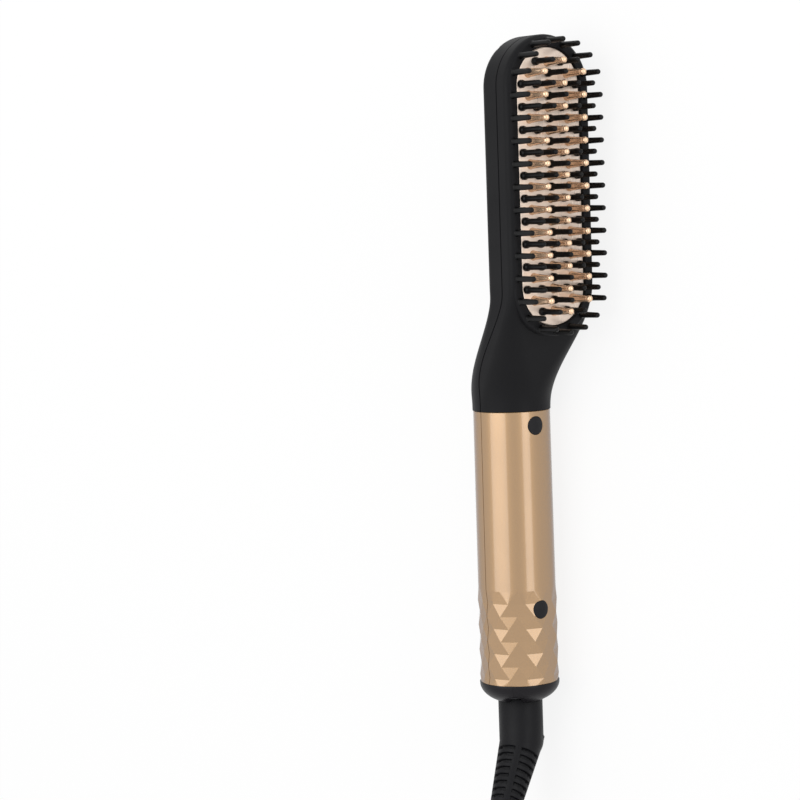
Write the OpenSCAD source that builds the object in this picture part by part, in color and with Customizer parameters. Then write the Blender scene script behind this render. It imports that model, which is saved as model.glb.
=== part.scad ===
// Beard straightener: a heated comb brush on a round handle, with a swivelling mains lead.
// The handset is drawn upright: z runs along the handle to the head, x is the way the teeth point,
// and z is 0 where the black neck meets the gold handle. rest() then lays it on its side.

/* [Handle] */
// Outside diameter of the handle at the neck
handle_d = 28.4; // [26:0.2:32]
// How much wider the handle is where its facets begin
handle_flare = 0.4; // [0:0.1:1]
// Length of the gold handle
handle_len = 101; // [96:1:120]
// Wall of the handle shells
handle_wall = 1.8; // [1.4:0.1:2.2]
// Length of the faceted part at the lower end
facet_len = 34; // [24:1:40]
// Number of facets around the handle, an even number
facets_around = 14; // [10:2:18]
// Number of facet rows
facet_rows = 7; // [4:1:9]
// How far a facet corner stands out or in
facet_relief = 0.25; // [0.1:0.05:0.35]

/* [Neck and head] */
// Length over which the handle grows into the head
neck_len = 46; // [40:1:52]
// How far the foot of the neck stands out past the handle
neck_out = 0.2; // [0:0.1:0.4]
// Length of the head from the neck joint to the tip
head_len = 135.2; // [125:0.2:150]
// Width of the black border between the plate and the side of the head
head_border = 4.7; // [4.4:0.1:6]
// Front face of the head, from the handle axis
head_front = 27.6; // [25:0.2:30]
// Rear face of the head at its shoulders, from the handle axis
head_rear = 11.6; // [10:0.2:14]
// Parting line of the two head shells, from the handle axis
head_seam = 21.2; // [20:0.2:22]
// Rounding of the rear shoulders
rear_round = 3.4; // [3:0.1:5]
// Rounding of the front edge
front_round = 2.4; // [1.5:0.1:3]
// How far the rear panel swells above the shoulders
rear_crown = 1.1; // [0.4:0.1:1.6]
// Depth of the shallow channel inside the shoulders
rear_channel = 0.35; // [0.1:0.05:0.6]
// Wall of the head shells
head_wall = 2; // [1.6:0.1:2.4]
// Length of the collar that the neck puts into the handle
spigot_len = 9.8; // [9.6:0.1:9.8]
// Wall of that collar
spigot_wall = 1.6; // [1.2:0.1:2]

/* [Thumb grip] */
// Distance between the grip columns
grip_step = 5.9; // [5:0.1:6.4]
// Length of a short grip slot
grip_slot_len = 6.1; // [4:0.1:7]
// Radius of the tool that cuts the grip
grip_r = 1.1; // [0.8:0.05:1.4]
// Depth of the grip
grip_depth = 0.6; // [0.3:0.05:0.8]

/* [Teeth] */
// Number of gold rows along the head
rows = 11; // [8:1:11]
// Distance between gold rows
row_pitch = 8.07; // [7.6:0.01:8.2]
// Height of the first gold row above the neck joint
first_row = 40.7; // [40:0.1:42]
// Distance of the outer gold teeth from the middle
gold_w = 8.7; // [8:0.1:9.4]
// Distance of the inner black bristles from the middle
black_w = 5.6; // [5.2:0.1:6]
// Distance of the outer black bristles from the rim of the plate
black_far_in = 2; // [1.8:0.1:2.4]
// Distance of the edge bristles outside the rim of the plate
edge_out = 2.2; // [2:0.1:2.4]
// Height of the gold teeth above the plate
gold_h = 10.6; // [8:0.1:12]
// Height of the black bristles above the plate
black_h = 11.3; // [8:0.1:13]
// Height of the edge bristles above the plate
edge_h = 10.3; // [8:0.1:12]
// Diameter of a gold tooth at its foot
gold_d = 3.4; // [2.8:0.1:3.6]
// Diameter of the ball on a gold tooth
gold_tip_d = 2.5; // [2:0.1:2.7]
// Diameter of a black bristle
black_d = 2.1; // [1.6:0.1:2.4]
// Diameter of the collar at the foot of a black bristle
black_foot_d = 3; // [2.6:0.1:3.2]
// Diameter of an edge bristle
edge_d = 2.3; // [1.8:0.1:2.6]

/* [Heating plate] */
// Width of the plate
plate_w = 28.4; // [27:0.1:28.8]
// Lower end of the plate above the neck joint
plate_low = 31.4; // [30:0.1:33]
// Upper end of the plate above the neck joint
plate_high = 130.6; // [128:0.1:131]
// Face of the plate, from the handle axis
plate_face = 26.9; // [26:0.1:27.4]
// Thickness of the plate
plate_t = 2.6; // [2.2:0.1:3]
// Width of the rim that the front shell holds down
plate_rim = 0.9; // [0.6:0.1:1.2]
// Length of the heater pack
heater_len = 72; // [60:1:80]
// Width of the heater pack
heater_w = 13; // [10:0.5:14]

/* [Switch] */
// Middle of the switch pocket below the neck joint
switch_drop = 36; // [34:0.5:40]
// Length of the switch pocket
pocket_len = 24.4; // [23.4:0.2:26]
// Width of the switch pocket
pocket_w = 8.4; // [7.6:0.1:9]
// Length of the knob
knob_len = 19; // [16:0.5:20]
// Travel of the knob from off to on
travel = 5; // [4:0.1:5.2]
// How far the knob stands above the flat panel
knob_rise = 1.1; // [0.8:0.1:1.6]
// Width of the flat panel round the switch
panel_w = 10.6; // [9.6:0.1:11.4]
// Depth of the flat panel below the round of the handle
panel_depth = 1.05; // [0.9:0.05:1.2]
// Middle of the lamp lens below the neck joint
lens_drop = 13.2; // [12:0.2:15]
// Width of the lamp lens
lens_w = 3.3; // [2.8:0.1:3.6]
// Length of the lamp lens
lens_len = 5.3; // [4.6:0.1:6]

/* [Handle screws] */
// Upper screw below the neck joint
screw_high = 5.4; // [5:0.1:6]
// Lower screw above the lower end of the handle
screw_up = 27.8; // [25:0.2:29]
// Diameter of the rubber plugs over the screws
plug_cover_d = 6.9; // [6:0.1:7.2]

/* [Swivel and lead] */
// Height of the black end cap
cap_h = 8; // [7:0.5:10]
// How much wider the rim of the end cap is than the handle
cap_flare = 0.8; // [0.4:0.1:1.4]
// Diameter of the swivelling collar
collar_d = 16.5; // [14:0.5:17]
// Length of the collar below the end cap
collar_len = 15; // [10:0.5:16]
// Length of the ribbed boot below the collar
boot_len = 40; // [34:1:44]
// Diameter of the ribbed boot at its thin end
boot_end_d = 9; // [8:0.5:11]
// Diameter of the lead
cord_d = 5.4; // [5.4:0.1:5.4]

/* [Plug] */
// Diameter of a plug pin
pin_d = 4; // [4:0.1:4.8]
// Length of a plug pin
pin_len = 19; // [17:0.5:19]
// Distance between the plug pins
pin_gap = 18.6; // [17.6:0.2:19]
// Width of the plug
plug_w = 34; // [32:0.5:36]
// Thickness of the plug
plug_t = 13.8; // [12:0.2:16]
// Length of the plug
plug_len = 38; // [34:0.5:42]

/* [Hidden] */

// Clearances: a moving fit, a seat, and the gap beside soft or free pieces
run_gap = 0.08;
seat_gap = 0.1;
free_gap = 0.3;
eps = 0.01;
round_n = 64;
black = "#2d2d2f";
gold = "#c9a77c";

handle_r = handle_d / 2;
handle_low_r = handle_r + handle_flare / 2;
handle_in = handle_r - handle_wall;
smooth_len = handle_len - facet_len;
screw_low = handle_len - screw_up;
head_a = plate_w / 2 + head_border;
edge_w = plate_w / 2 + edge_out;
black_far_w = plate_w / 2 - black_far_in;
spigot_r = handle_in - seat_gap;
spigot_in = spigot_r - spigot_wall;
tip_z = head_len - head_a;
plate_back = plate_face - plate_t;
cap_r = handle_low_r + cap_flare / 2;
collar_r = collar_d / 2;
neck_foot_r = handle_r + neck_out;

// The handset lies on the rim of its end cap and on the lower rear shoulder of the head
shoulder = [head_rear + rear_round, head_a - rear_round];
roll = atan2(shoulder[1], shoulder[0]) - asin((cap_r - rear_round) / norm(shoulder));
tip_reach = plate_face + edge_h - edge_d / 2;
right_x = tip_reach * cos(roll) + edge_w * sin(roll) + edge_d / 2;
mid_x = (right_x - cap_r) / 2;
mid_y = (head_len - handle_len - cap_h) / 2;

// Lays an upright drawing on its side, with z along Y and x along X, and rolls it on to its rest
module rest() {
    translate([-mid_x, -mid_y, cap_r]) rotate([0, -roll, 0]) rotate([-90, 0, 0]) children();
}

function smooth(t) = t <= 0 ? 0 : t >= 1 ? 1 : t * t * (3 - 2 * t);
function mix(a, b, t) = a + (b - a) * t;

// The black body as functions of height z: half width, rear, front, seam and edge roundings
function half_w(z) = mix(neck_foot_r, head_a, smooth((z - 4) / (neck_len - 12)));
function rear_at(z) = mix(-neck_foot_r, head_rear, smooth((z - 5) / (neck_len - 8)));
function front_at(z) = mix(neck_foot_r, head_front, smooth(z / (neck_len + 2)));
function seam_at(z) = head_seam * smooth((z - 8) / (neck_len - 10));
function rear_round_at(z) = mix(neck_foot_r, rear_round, smooth(z / neck_len));
function front_round_at(z) = mix(neck_foot_r, front_round, smooth(z / neck_len));
function edge(r, d) = d >= r ? 0 : r - sqrt(r * r - (r - d) * (r - d));
// The rear panel swells in the middle and has a shallow channel just inside the shoulders
function panel(z, d, a) = smooth((z - 26) / 22) * (
    rear_channel * pow(sin(180 * min(1, max(0, (d - rear_round + 1) / 5))), 2)
    - rear_crown * smooth((d - rear_round) / (a - rear_round)));
function rear_skin(z, d, a, wall) =
    rear_at(z) + wall + edge(max(0.5, rear_round_at(z) - wall), d) + panel(z, d, a);
function front_skin(z, d, wall) = front_at(z) - wall - edge(max(0.3, front_round_at(z) - wall), d);
function inset(w, z) = z < tip_z ? half_w(z) - abs(w) : head_a - norm([w, z - tip_z]);
function rear_b(w, z) = rear_skin(min(z, tip_z), max(0, inset(w, z)), head_a, 0);

// One section of the body at height z, thinned by wall, as a ring of points
spread = [0, 0.03, 0.07, 0.12, 0.18, 0.25, 0.32, 0.4, 0.5, 0.62, 0.75, 0.88, 1];
function half_points(z, wall, rear) =
    let(a = half_w(z) - wall, up = max(0, z - tip_z), deep = a - up)
    [for (f = spread)
        let(d = deep * f, w = sqrt(max(0, pow(a - d, 2) - up * up)), y = min(z, tip_z))
        [rear ? rear_skin(y, d, a, wall) : front_skin(y, d, wall), w]];
function section(z, wall, rear) =
    let(h = half_points(z, wall, rear), n = len(h))
    let(s = seam_at(z) + (wall == 0 ? 0 : rear ? 1 : -1))
    concat(
        [[s, -h[0][1], z]],
        [for (i = [0 : n - 1]) [h[i][0], -h[i][1], z]],
        [for (i = [n - 2 : -1 : 0]) [h[i][0], h[i][1], z]],
        [[s, h[0][1], z]]
    );
function arc_heights(wall) = [for (t = [10 : 10 : 80]) tip_z + (head_a - wall) * sin(t)];
outer_z = concat(
    [for (k = [0 : 12]) neck_len * k / 12], [neck_len + 3, tip_z],
    arc_heights(0), [tip_z + head_a * sin(88)]);
inner_z = concat(
    [for (k = [0 : 7]) mix(3, neck_len, k / 7)], [neck_len + 3, tip_z],
    arc_heights(head_wall));

// A closed skin over a list of rings that all have the same number of points
module loft(rings, flip = false) {
    n = len(rings[0]);
    m = len(rings);
    sides = [for (j = [0 : m - 2]) for (i = [0 : n - 1])
        let(a = j * n + i, b = j * n + (i + 1) % n, c = b + n, d = a + n)
        each [[a, b, c], [a, c, d]]];
    ends = [[for (i = [n - 1 : -1 : 0]) i], [for (i = [0 : n - 1]) (m - 1) * n + i]];
    faces = concat(sides, ends);
    turned = [for (f = faces) [for (i = [len(f) - 1 : -1 : 0]) f[i]]];
    polyhedron([for (r = rings) each r], flip ? turned : faces);
}

// A flat outline with round ends, w wide, that runs from low to high
module stadium(w, low, high) {
    for (z = [low + w / 2, high - w / 2]) translate([z, 0]) circle(d = w, $fn = round_n);
    translate([low + w / 2, -w / 2]) square([high - low - w, w]);
}
// Extrudes a flat shape (z, y) along x, from x = from to x = to
module along_x(from, to) {
    translate([from, 0, 0]) rotate([0, -90, 0]) mirror([0, 0, 1]) linear_extrude(to - from) children();
}
// A round rod along x
module rod_x(d, from, to, d2 = 0) {
    translate([from, 0, 0]) rotate([0, 90, 0])
        cylinder(d1 = d, d2 = d2 == 0 ? d : d2, h = to - from, $fn = round_n);
}
module block(low, high) {
    translate(low) cube(high - low);
}
module half_space(rear) {
    block([rear ? -60 : 0, -60, -300], [rear ? 0 : 60, 60, 300]);
}
// A tube with round rings along points; side is the axis that the rings stay square to
function unit(v) = v / norm(v);
function tangent(p, i) = unit(p[min(i + 1, len(p) - 1)] - p[max(i - 1, 0)]);
function ring(c, t, r, n, ref) =
    let(s = unit(cross(t, ref)), u = cross(s, t))
    [for (k = [0 : n - 1]) c + r * (cos(360 * k / n + 90) * s + sin(360 * k / n + 90) * u)];
module tube(points, r, n, ref = [0, 0, 1]) {
    loft([for (i = [0 : len(points) - 1]) ring(points[i], tangent(points, i), r, n, ref)]);
}
// A smooth curve through chosen points, with steps points between two of them
function curve(p, steps) = concat([for (i = [0 : len(p) - 2]) for (k = [0 : steps - 1])
    let(t = k / steps, a = p[max(i - 1, 0)], b = p[i], c = p[i + 1], d = p[min(i + 2, len(p) - 1)])
    0.5 * (2 * b + (c - a) * t + (2 * a - 5 * b + 4 * c - d) * t * t + (3 * b - a - 3 * c + d) * t * t * t)
], [p[len(p) - 1]]);

// The neck's collar inside the handle, with the holes that the screw bosses pass
boss_d = 7;
boss_hole = boss_d + 2 * seat_gap;
module spigot() {
    difference() {
        translate([0, 0, -spigot_len]) cylinder(r = spigot_r, h = spigot_len + 2, $fn = round_n);
        translate([0, 0, -spigot_len - 1]) cylinder(r = spigot_in, h = spigot_len + 6, $fn = round_n);
        translate([0, 0, -screw_high]) rod_x(boss_hole, -20, 20);
    }
}

// Thumb grip: short slots in two rows and long flutes over the tip
grip_top = 120.4;
grip_arch = 0.18;
grip_pitch = 8;
// The middle of the cutting tool where it is at its full depth
function grip_at(w, z) = [rear_b(w, z) + grip_depth - grip_r, w, z];
// A bar with rounded ends that follows the points
module grip_bar(points) {
    n = len(points);
    head = points[0] + grip_r * 0.8 * unit(points[0] - points[1]);
    foot = points[n - 1] + grip_r * 0.8 * unit(points[n - 1] - points[n - 2]);
    line = concat([head, mix(head, points[0], 0.5)], points, [mix(foot, points[n - 1], 0.5), foot]);
    size = concat([0.4, 0.85], [for (p = points) 1], [0.85, 0.4]);
    loft([for (i = [0 : len(line) - 1]) ring(line[i], tangent(line, i), grip_r * size[i], 10, [0, 1, 0])]);
}
module grip_cuts() {
    for (c = [-2 : 2]) {
        w = c * grip_step;
        top = grip_top - grip_arch * abs(w);
        for (k = [0, 1])
            grip_bar([grip_at(w, top - k * grip_pitch - grip_slot_len + grip_r), grip_at(w, top - k * grip_pitch - grip_r)]);
        rim = tip_z + sqrt(head_a * head_a - w * w);
        low = top + 2.2 + grip_r;
        grip_bar(concat([for (z = [low, rim - 5.5, rim - 3.2, rim - 1.6, rim - 0.6]) grip_at(w, z)],
            [[head_rear + rear_round + 2, w, rim + grip_r - grip_depth]]));
    }
}

rib_top = 15.2;
module head_rear_shell() color(black) rest() {
    difference() {
        loft([for (z = outer_z) section(z, 0, true)]);
        loft([for (z = inner_z) section(z, head_wall, true)]);
        translate([0, 0, -1]) cylinder(r = spigot_in, h = 6, $fn = round_n);
        grip_cuts();
    }
    intersection() {
        spigot();
        half_space(true);
    }
    for (z = [50, 76, 102])
        block([head_rear + 0.4, -12, z], [rib_top, 12, z + 1.6]);
}

plate_cut = plate_w + 2 * seat_gap;
lip_back = head_front - head_wall;
pin_foot = lip_back - 0.8;
// The flat round the plate ends in a half round that stands up from the slope of the neck
ring_edge = 0.7;
ring_r = edge_w + edge_d / 2 + 0.35;
wall_in = head_a - head_wall;
tongue_w = 1.1;
module head_front_shell() color(black) rest() {
    difference() {
        union() {
            loft([for (z = outer_z) section(z, 0, false)], true);
            translate([0, 0, arc_low]) {
                rod_x(2 * ring_r, head_seam, head_front - ring_edge);
                rod_x(2 * ring_r, head_front - ring_edge, head_front, 2 * (ring_r - ring_edge));
            }
        }
        loft([for (z = inner_z) section(z, head_wall, false)], true);
        translate([0, 0, -1]) cylinder(r = spigot_in, h = 6, $fn = round_n);
        along_x(head_seam, head_front + 1) stadium(plate_cut, plate_low - seat_gap, plate_high + seat_gap);
        along_x(head_seam - 2, lip_back)
            stadium(plate_cut + 2 * plate_rim, plate_low - seat_gap - plate_rim, plate_high + seat_gap + plate_rim);
        for (p = edge_spots) translate([0, p[0], p[1]]) rod_x(edge_d, pin_foot, head_front + 1);
    }
    intersection() {
        spigot();
        half_space(false);
    }
    for (z = [52, 104]) for (s = [0, 1]) mirror([0, s, 0]) {
        block([head_seam - 3, wall_in - seat_gap - tongue_w, z], [head_seam, wall_in - seat_gap, z + 5]);
        block([head_seam, wall_in - seat_gap - tongue_w, z], [head_seam + 2.4, wall_in + 0.2, z + 5]);
    }
}

// Where the teeth stand, as [across, along]
row_z = [for (k = [0 : rows - 1]) first_row + k * row_pitch];
half_row_z = [for (k = [0 : rows]) first_row + (k - 0.5) * row_pitch];
gold_spots = concat(
    [for (z = row_z) for (s = [-1, 1]) [s * gold_w, z]],
    [for (z = half_row_z) [0, z]]);
black_spots = concat(
    [for (z = row_z) [0, z]],
    [for (z = half_row_z) for (s = [-1, 1]) [s * black_w, z]],
    [for (k = [1 : rows - 1]) for (s = [-1, 1]) [s * black_far_w, half_row_z[k]]]);
arc_low = plate_low + plate_w / 2;
arc_high = plate_high - plate_w / 2;
function on_edge(z, s) = let(out = max(0, z - arc_high, arc_low - z)) [s * sqrt(edge_w * edge_w - out * out), z];
last_turn = asin((row_z[rows - 1] - arc_high) / edge_w);
edge_spots = concat(
    [for (z = row_z) for (s = [-1, 1]) on_edge(z, s)],
    [for (k = [1 : 5]) let(t = mix(last_turn, 180 - last_turn, k / 6)) [edge_w * cos(t), arc_high + edge_w * sin(t)]],
    [for (k = [1 : 5]) let(t = mix(last_turn, 180 - last_turn, k / 6)) [edge_w * cos(t), arc_low - edge_w * sin(t)]]);

// A pin along x with a ball end, standing from x = foot to x = tip
module pin(foot, tip, d, ball) {
    rod_x(d, foot, tip - ball / 2, ball);
    translate([tip - ball / 2, 0, 0]) sphere(d = ball, $fn = round_n);
}
module edge_bristles() color(black) rest() {
    for (p = edge_spots) translate([0, p[0], p[1]]) {
        rod_x(edge_d, pin_foot, head_front);
        pin(head_front - eps, plate_face + edge_h, edge_d, edge_d - 0.4);
    }
}
tooth_shank = 2;
tooth_depth = 1.4;
bristle_shank = 1.8;
bristle_depth = 1.6;
module heated_teeth() color(gold) rest() {
    for (p = gold_spots) translate([0, p[0], p[1]]) {
        pin(plate_face, plate_face + gold_h, gold_d, gold_tip_d);
        rod_x(tooth_shank, plate_face - tooth_depth, plate_face + 0.2);
    }
}
module inner_bristles() color("#1b1b1c") rest() {
    for (p = black_spots) translate([0, p[0], p[1]]) {
        pin(plate_face, plate_face + black_h, black_d, black_d - 0.2);
        rod_x(black_foot_d, plate_face, plate_face + 1.6, black_foot_d - 0.5);
        rod_x(bristle_shank, plate_face - bristle_depth, plate_face + 0.2);
    }
}
clamp_t = 1;
pack_t = 4;
flange_w = 4.4;
clamp_half = heater_w / 2 + 2 * seat_gap;
clamp_mid = (plate_low + plate_high) / 2;
clamp_len = heater_len + 2;
clamp_spots = [for (s = [-1, 1]) for (e = [-1, 1]) [s * (clamp_half + clamp_t + flange_w / 2), clamp_mid + e * (clamp_len / 2 - 5)]];
module heating_plate() color("#e1bea0") rest() {
    difference() {
        union() {
            along_x(plate_back, plate_face) stadium(plate_w, plate_low, plate_high);
            along_x(plate_back, lip_back - seat_gap)
                stadium(plate_w + 2 * plate_rim, plate_low - plate_rim, plate_high + plate_rim);
        }
        for (p = gold_spots) translate([0, p[0], p[1]])
            rod_x(tooth_shank, plate_face - tooth_depth, plate_face + 1);
        for (p = black_spots) translate([0, p[0], p[1]])
            rod_x(bristle_shank, plate_face - bristle_depth, plate_face + 1);
        for (p = clamp_spots) translate([0, p[0], p[1]]) rod_x(2, plate_back - 1, plate_back + 0.7);
    }
}

// Heater pack behind the plate: film sleeve, two strips and three ceramic stones
pack_back = plate_back - pack_t;
film_t = 0.3;
strip_t = 0.5;
pack_low = clamp_mid - heater_len / 2;
pack_high = clamp_mid + heater_len / 2;
module heater_film() color("#c47a1c") rest() {
    difference() {
        block([pack_back, -heater_w / 2, pack_low], [plate_back, heater_w / 2, pack_high]);
        block([pack_back + film_t, -heater_w / 2 + film_t, pack_low - 1],
              [plate_back - film_t, heater_w / 2 - film_t, pack_high + 1]);
    }
}
module electrode_strips() color("#d9b15c") rest() {
    for (x = [pack_back + film_t, plate_back - film_t - strip_t])
        block([x, -4.5, pack_low - 4], [x + strip_t, 4.5, pack_high - 1]);
}
stone_gap = 1.5;
stones = 3;
stone_len = (heater_len - 4 - (stones - 1) * stone_gap) / stones;
module ptc_stones() color("#8b8178") rest() {
    for (k = [0 : stones - 1]) {
        z = pack_low + 2 + k * (stone_len + stone_gap);
        block([pack_back + film_t + strip_t, -5, z], [plate_back - film_t - strip_t, 5, z + stone_len]);
    }
}
clamp_back = pack_back - clamp_t;
clamp_low = clamp_mid - clamp_len / 2;
clamp_high = clamp_mid + clamp_len / 2;
module heater_clamp() color("silver") rest() {
    difference() {
        union() {
            block([clamp_back, -clamp_half - clamp_t, clamp_low], [pack_back, clamp_half + clamp_t, clamp_high]);
            for (s = [-1, 1]) {
                y = s * (clamp_half + clamp_t / 2);
                block([clamp_back, y - clamp_t / 2, clamp_low], [plate_back, y + clamp_t / 2, clamp_high]);
                f = s * (clamp_half + clamp_t + flange_w / 2);
                block([plate_back - clamp_t, f - flange_w / 2 - eps, clamp_low],
                      [plate_back, f + flange_w / 2 + eps, clamp_high]);
            }
        }
        for (p = clamp_spots) translate([0, p[0], p[1]]) rod_x(2.2, plate_back - 3, plate_back + 1);
    }
}
module clamp_screws() color("silver") rest() {
    for (p = clamp_spots) translate([0, p[0], p[1]]) {
        rod_x(3.6, plate_back - clamp_t - 1.2, plate_back - clamp_t);
        rod_x(1.9, plate_back - clamp_t - 0.2, plate_back + 0.6);
    }
}
board_t = 1;
module insulation_board() color("#cfc6b0") rest() {
    block([rib_top, -13, clamp_low - 2], [rib_top + board_t, 13, clamp_high + 2]);
}
fuse_r = 1.4;
module thermal_fuse() color("#e8e2d0") rest() {
    translate([clamp_back - fuse_r - 0.05, 0, clamp_mid - 14]) cylinder(r = fuse_r, h = 10, $fn = round_n);
}
module thermistor() color("#3c6e4f") rest() {
    translate([clamp_back - 1.05, 0, clamp_mid + 10]) cylinder(r = 1, h = 5, $fn = round_n);
}

// The handle: a smooth cone above, rows of flat triangles below
step_a = 360 / facets_around;
facet_low = -handle_len;
facet_high = -smooth_len;
row_h = (handle_len - smooth_len) / (facet_rows + 0.3);
arc_n = 4;
function signed(k) = k > facets_around / 2 ? k - facets_around : k;
function half_turn(k) = let(h = facets_around / 2, q = signed(k)) q > h / 2 ? q - h : q < -h / 2 ? q + h : q;
function relief(k) = let(q = half_turn(k))
    abs(abs(q) - facets_around / 4) < 0.1 ? 0 : (floor(q) % 2 == 0 ? 1 : -1) * facet_relief;
function at(angle, r, z) = [-r * cos(angle), r * sin(angle), z];
function facet_row(i) = [for (k = [0 : facets_around - 1])
    let(q = k + (i % 2 == 1 ? 0 : 0.5)) at(q * step_a, handle_low_r + relief(q), facet_high - i * row_h)];
function fine_ring(z) = [for (j = [0 : facets_around * arc_n - 1])
    at((j / arc_n + 0.5) * step_a, handle_low_r, z)];
module faceted_sleeve() {
    n = facets_around;
    f = n * arc_n;
    bottom_shift = facet_rows % 2 == 1 ? 0 : 0.5;
    points = concat(
        fine_ring(facet_high),
        [for (i = [1 : facet_rows]) each facet_row(i)],
        [for (j = [0 : f - 1]) at((j / arc_n + 0.5 + bottom_shift) * step_a, handle_low_r, facet_low)]);
    first = f;
    last = f + (facet_rows - 1) * n;
    low = f + facet_rows * n;
    top_band = [for (k = [0 : n - 1]) each concat(
        [[first + k, first + (k + 1) % n, (k * arc_n) % f]],
        [for (j = [0 : arc_n - 1]) let(a = ((k - 1) * arc_n + j + f) % f) [first + k, (a + 1) % f, a]])];
    mid_bands = [for (i = [0 : facet_rows - 2]) for (k = [0 : n - 1])
        let(a = first + i * n, b = a + n, odd = i % 2 == 0)
        each odd
            ? [[b + k, a + (k + 1) % n, a + k], [b + k, b + (k + 1) % n, a + (k + 1) % n]]
            : [[b + (k + 1) % n, a + k, b + k], [b + (k + 1) % n, a + (k + 1) % n, a + k]]];
    low_band = [for (k = [0 : n - 1]) each concat(
        [[last + (k + 1) % n, last + k, low + (k * arc_n) % f]],
        [for (j = [0 : arc_n - 1]) let(a = ((k - 1) * arc_n + j + f) % f) [last + k, low + a, low + (a + 1) % f]])];
    polyhedron(points, concat(
        [[for (j = [0 : f - 1]) j]], [for (t = top_band) [t[0], t[1], t[2]]],
        mid_bands, [for (t = low_band) t], [[for (j = [f - 1 : -1 : 0]) low + j]]));
}
// The cone ends a hair outside the sleeve, so that their edges don't fall on each other
sleeve_step = 0.03;
module handle_body() {
    translate([0, 0, facet_high - eps])
        cylinder(r1 = handle_low_r + sleeve_step, r2 = handle_r, h = smooth_len + eps, $fn = 96);
    faceted_sleeve();
}
module handle_bore() {
    translate([0, 0, -handle_len - 1]) cylinder(r = handle_in, h = handle_len + 2, $fn = 96);
}

// Places in the handle
board_back = -4.4;
pcb_t = 1.6;
pcb_half = 10.4;
pcb_high = -spigot_len - 0.8;
pcb_low = 39 - handle_len;
post_spots = [for (z = [-19.5, pcb_low + 5]) for (s = [1, -1]) [s * 6.8, z]];
pocket_z = -switch_drop;
panel_x = -(handle_r + (handle_low_r - handle_r) / 2 - panel_depth);
pocket_floor = panel_x + 1.7;
floor_t = 1.2;
stem_w = 3;
stem_len = 4;
knob_off = pocket_z - (pocket_len - knob_len) / 2 + (pocket_len - knob_len - travel) / 2;
switch_body_len = 20;
module handle_rear_shell() color(gold) rest() {
    difference() {
        union() {
            difference() {
                handle_body();
                handle_bore();
                half_space(false);
            }
            intersection() {
                translate([0, 0, -handle_len]) cylinder(r = handle_in + 0.5, h = handle_len, $fn = 96);
                union() {
                    block([-handle_r, -pocket_w / 2 - 1.3, pocket_z - pocket_len / 2 - 1.3],
                          [pocket_floor + floor_t, pocket_w / 2 + 1.3, pocket_z + pocket_len / 2 + 1.3]);
                    for (p = post_spots) translate([0, p[0], p[1]]) rod_x(4.2, -handle_r, board_back);
                    for (z = [-screw_high, -screw_low]) translate([0, 0, z]) rod_x(boss_d, -handle_r, -free_gap);
                }
            }
        }
        along_x(-handle_r - 2, panel_x) stadium(panel_w, pocket_z - pocket_len / 2 - 1.1, -6.9);
        along_x(-handle_r - 2, pocket_floor) stadium(pocket_w, pocket_z - pocket_len / 2, pocket_z + pocket_len / 2);
        block([-handle_r, -stem_w / 2 - free_gap, knob_off - stem_len / 2 - free_gap],
              [0, stem_w / 2 + free_gap, knob_off + travel + stem_len / 2 + free_gap]);
        along_x(-handle_r - 2, -handle_in + 4) stadium(lens_w + 2 * seat_gap, -lens_drop - lens_len / 2 - seat_gap, -lens_drop + lens_len / 2 + seat_gap);
        for (p = post_spots) translate([0, p[0], p[1]]) rod_x(1.8, board_back - 3.5, board_back + 1);
        for (z = [-screw_high, -screw_low]) translate([0, 0, z]) rod_x(3, -9, 1);
    }
}
head_seat = 3;
module handle_front_shell() color(gold) rest() {
    difference() {
        union() {
            difference() {
                handle_body();
                handle_bore();
                half_space(true);
            }
            intersection() {
                translate([0, 0, -handle_len]) cylinder(r = handle_in + 0.5, h = handle_len, $fn = 96);
                union() {
                    for (z = [-screw_high, -screw_low]) translate([0, 0, z]) rod_x(boss_d, free_gap, handle_r);
                    for (s = [-1, 1]) block([5, s * 8 - 1, block_low], [handle_r, s * 8 + 1, block_high]);
                }
            }
        }
        for (z = [-screw_high, -screw_low]) translate([0, 0, z]) {
            rod_x(plug_cover_d, handle_r - 2.4, handle_r + 4);
            rod_x(5.4, head_seat, handle_r);
            rod_x(3.2, -1, handle_r);
        }
    }
}
module handle_screws() color("silver") rest() {
    for (z = [-screw_high, -screw_low]) translate([0, 0, z]) difference() {
        union() {
            rod_x(5, head_seat, head_seat + 2.2);
            rod_x(2.9, -8, head_seat + 0.2);
        }
        block([head_seat + 1.2, -1.9, -0.35], [head_seat + 3, 1.9, 0.35]);
        block([head_seat + 1.2, -0.35, -1.9], [head_seat + 3, 0.35, 1.9]);
    }
}
module screw_plugs() color("#222224") rest() {
    intersection() {
        for (z = [-screw_high, -screw_low]) translate([0, 0, z])
            rod_x(plug_cover_d - seat_gap, handle_r - 2.4, handle_r + 2);
        translate([0, 0, -handle_len]) cylinder(r1 = handle_low_r + 0.2, r2 = handle_r + 0.1, h = handle_len, $fn = 96);
    }
}

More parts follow.
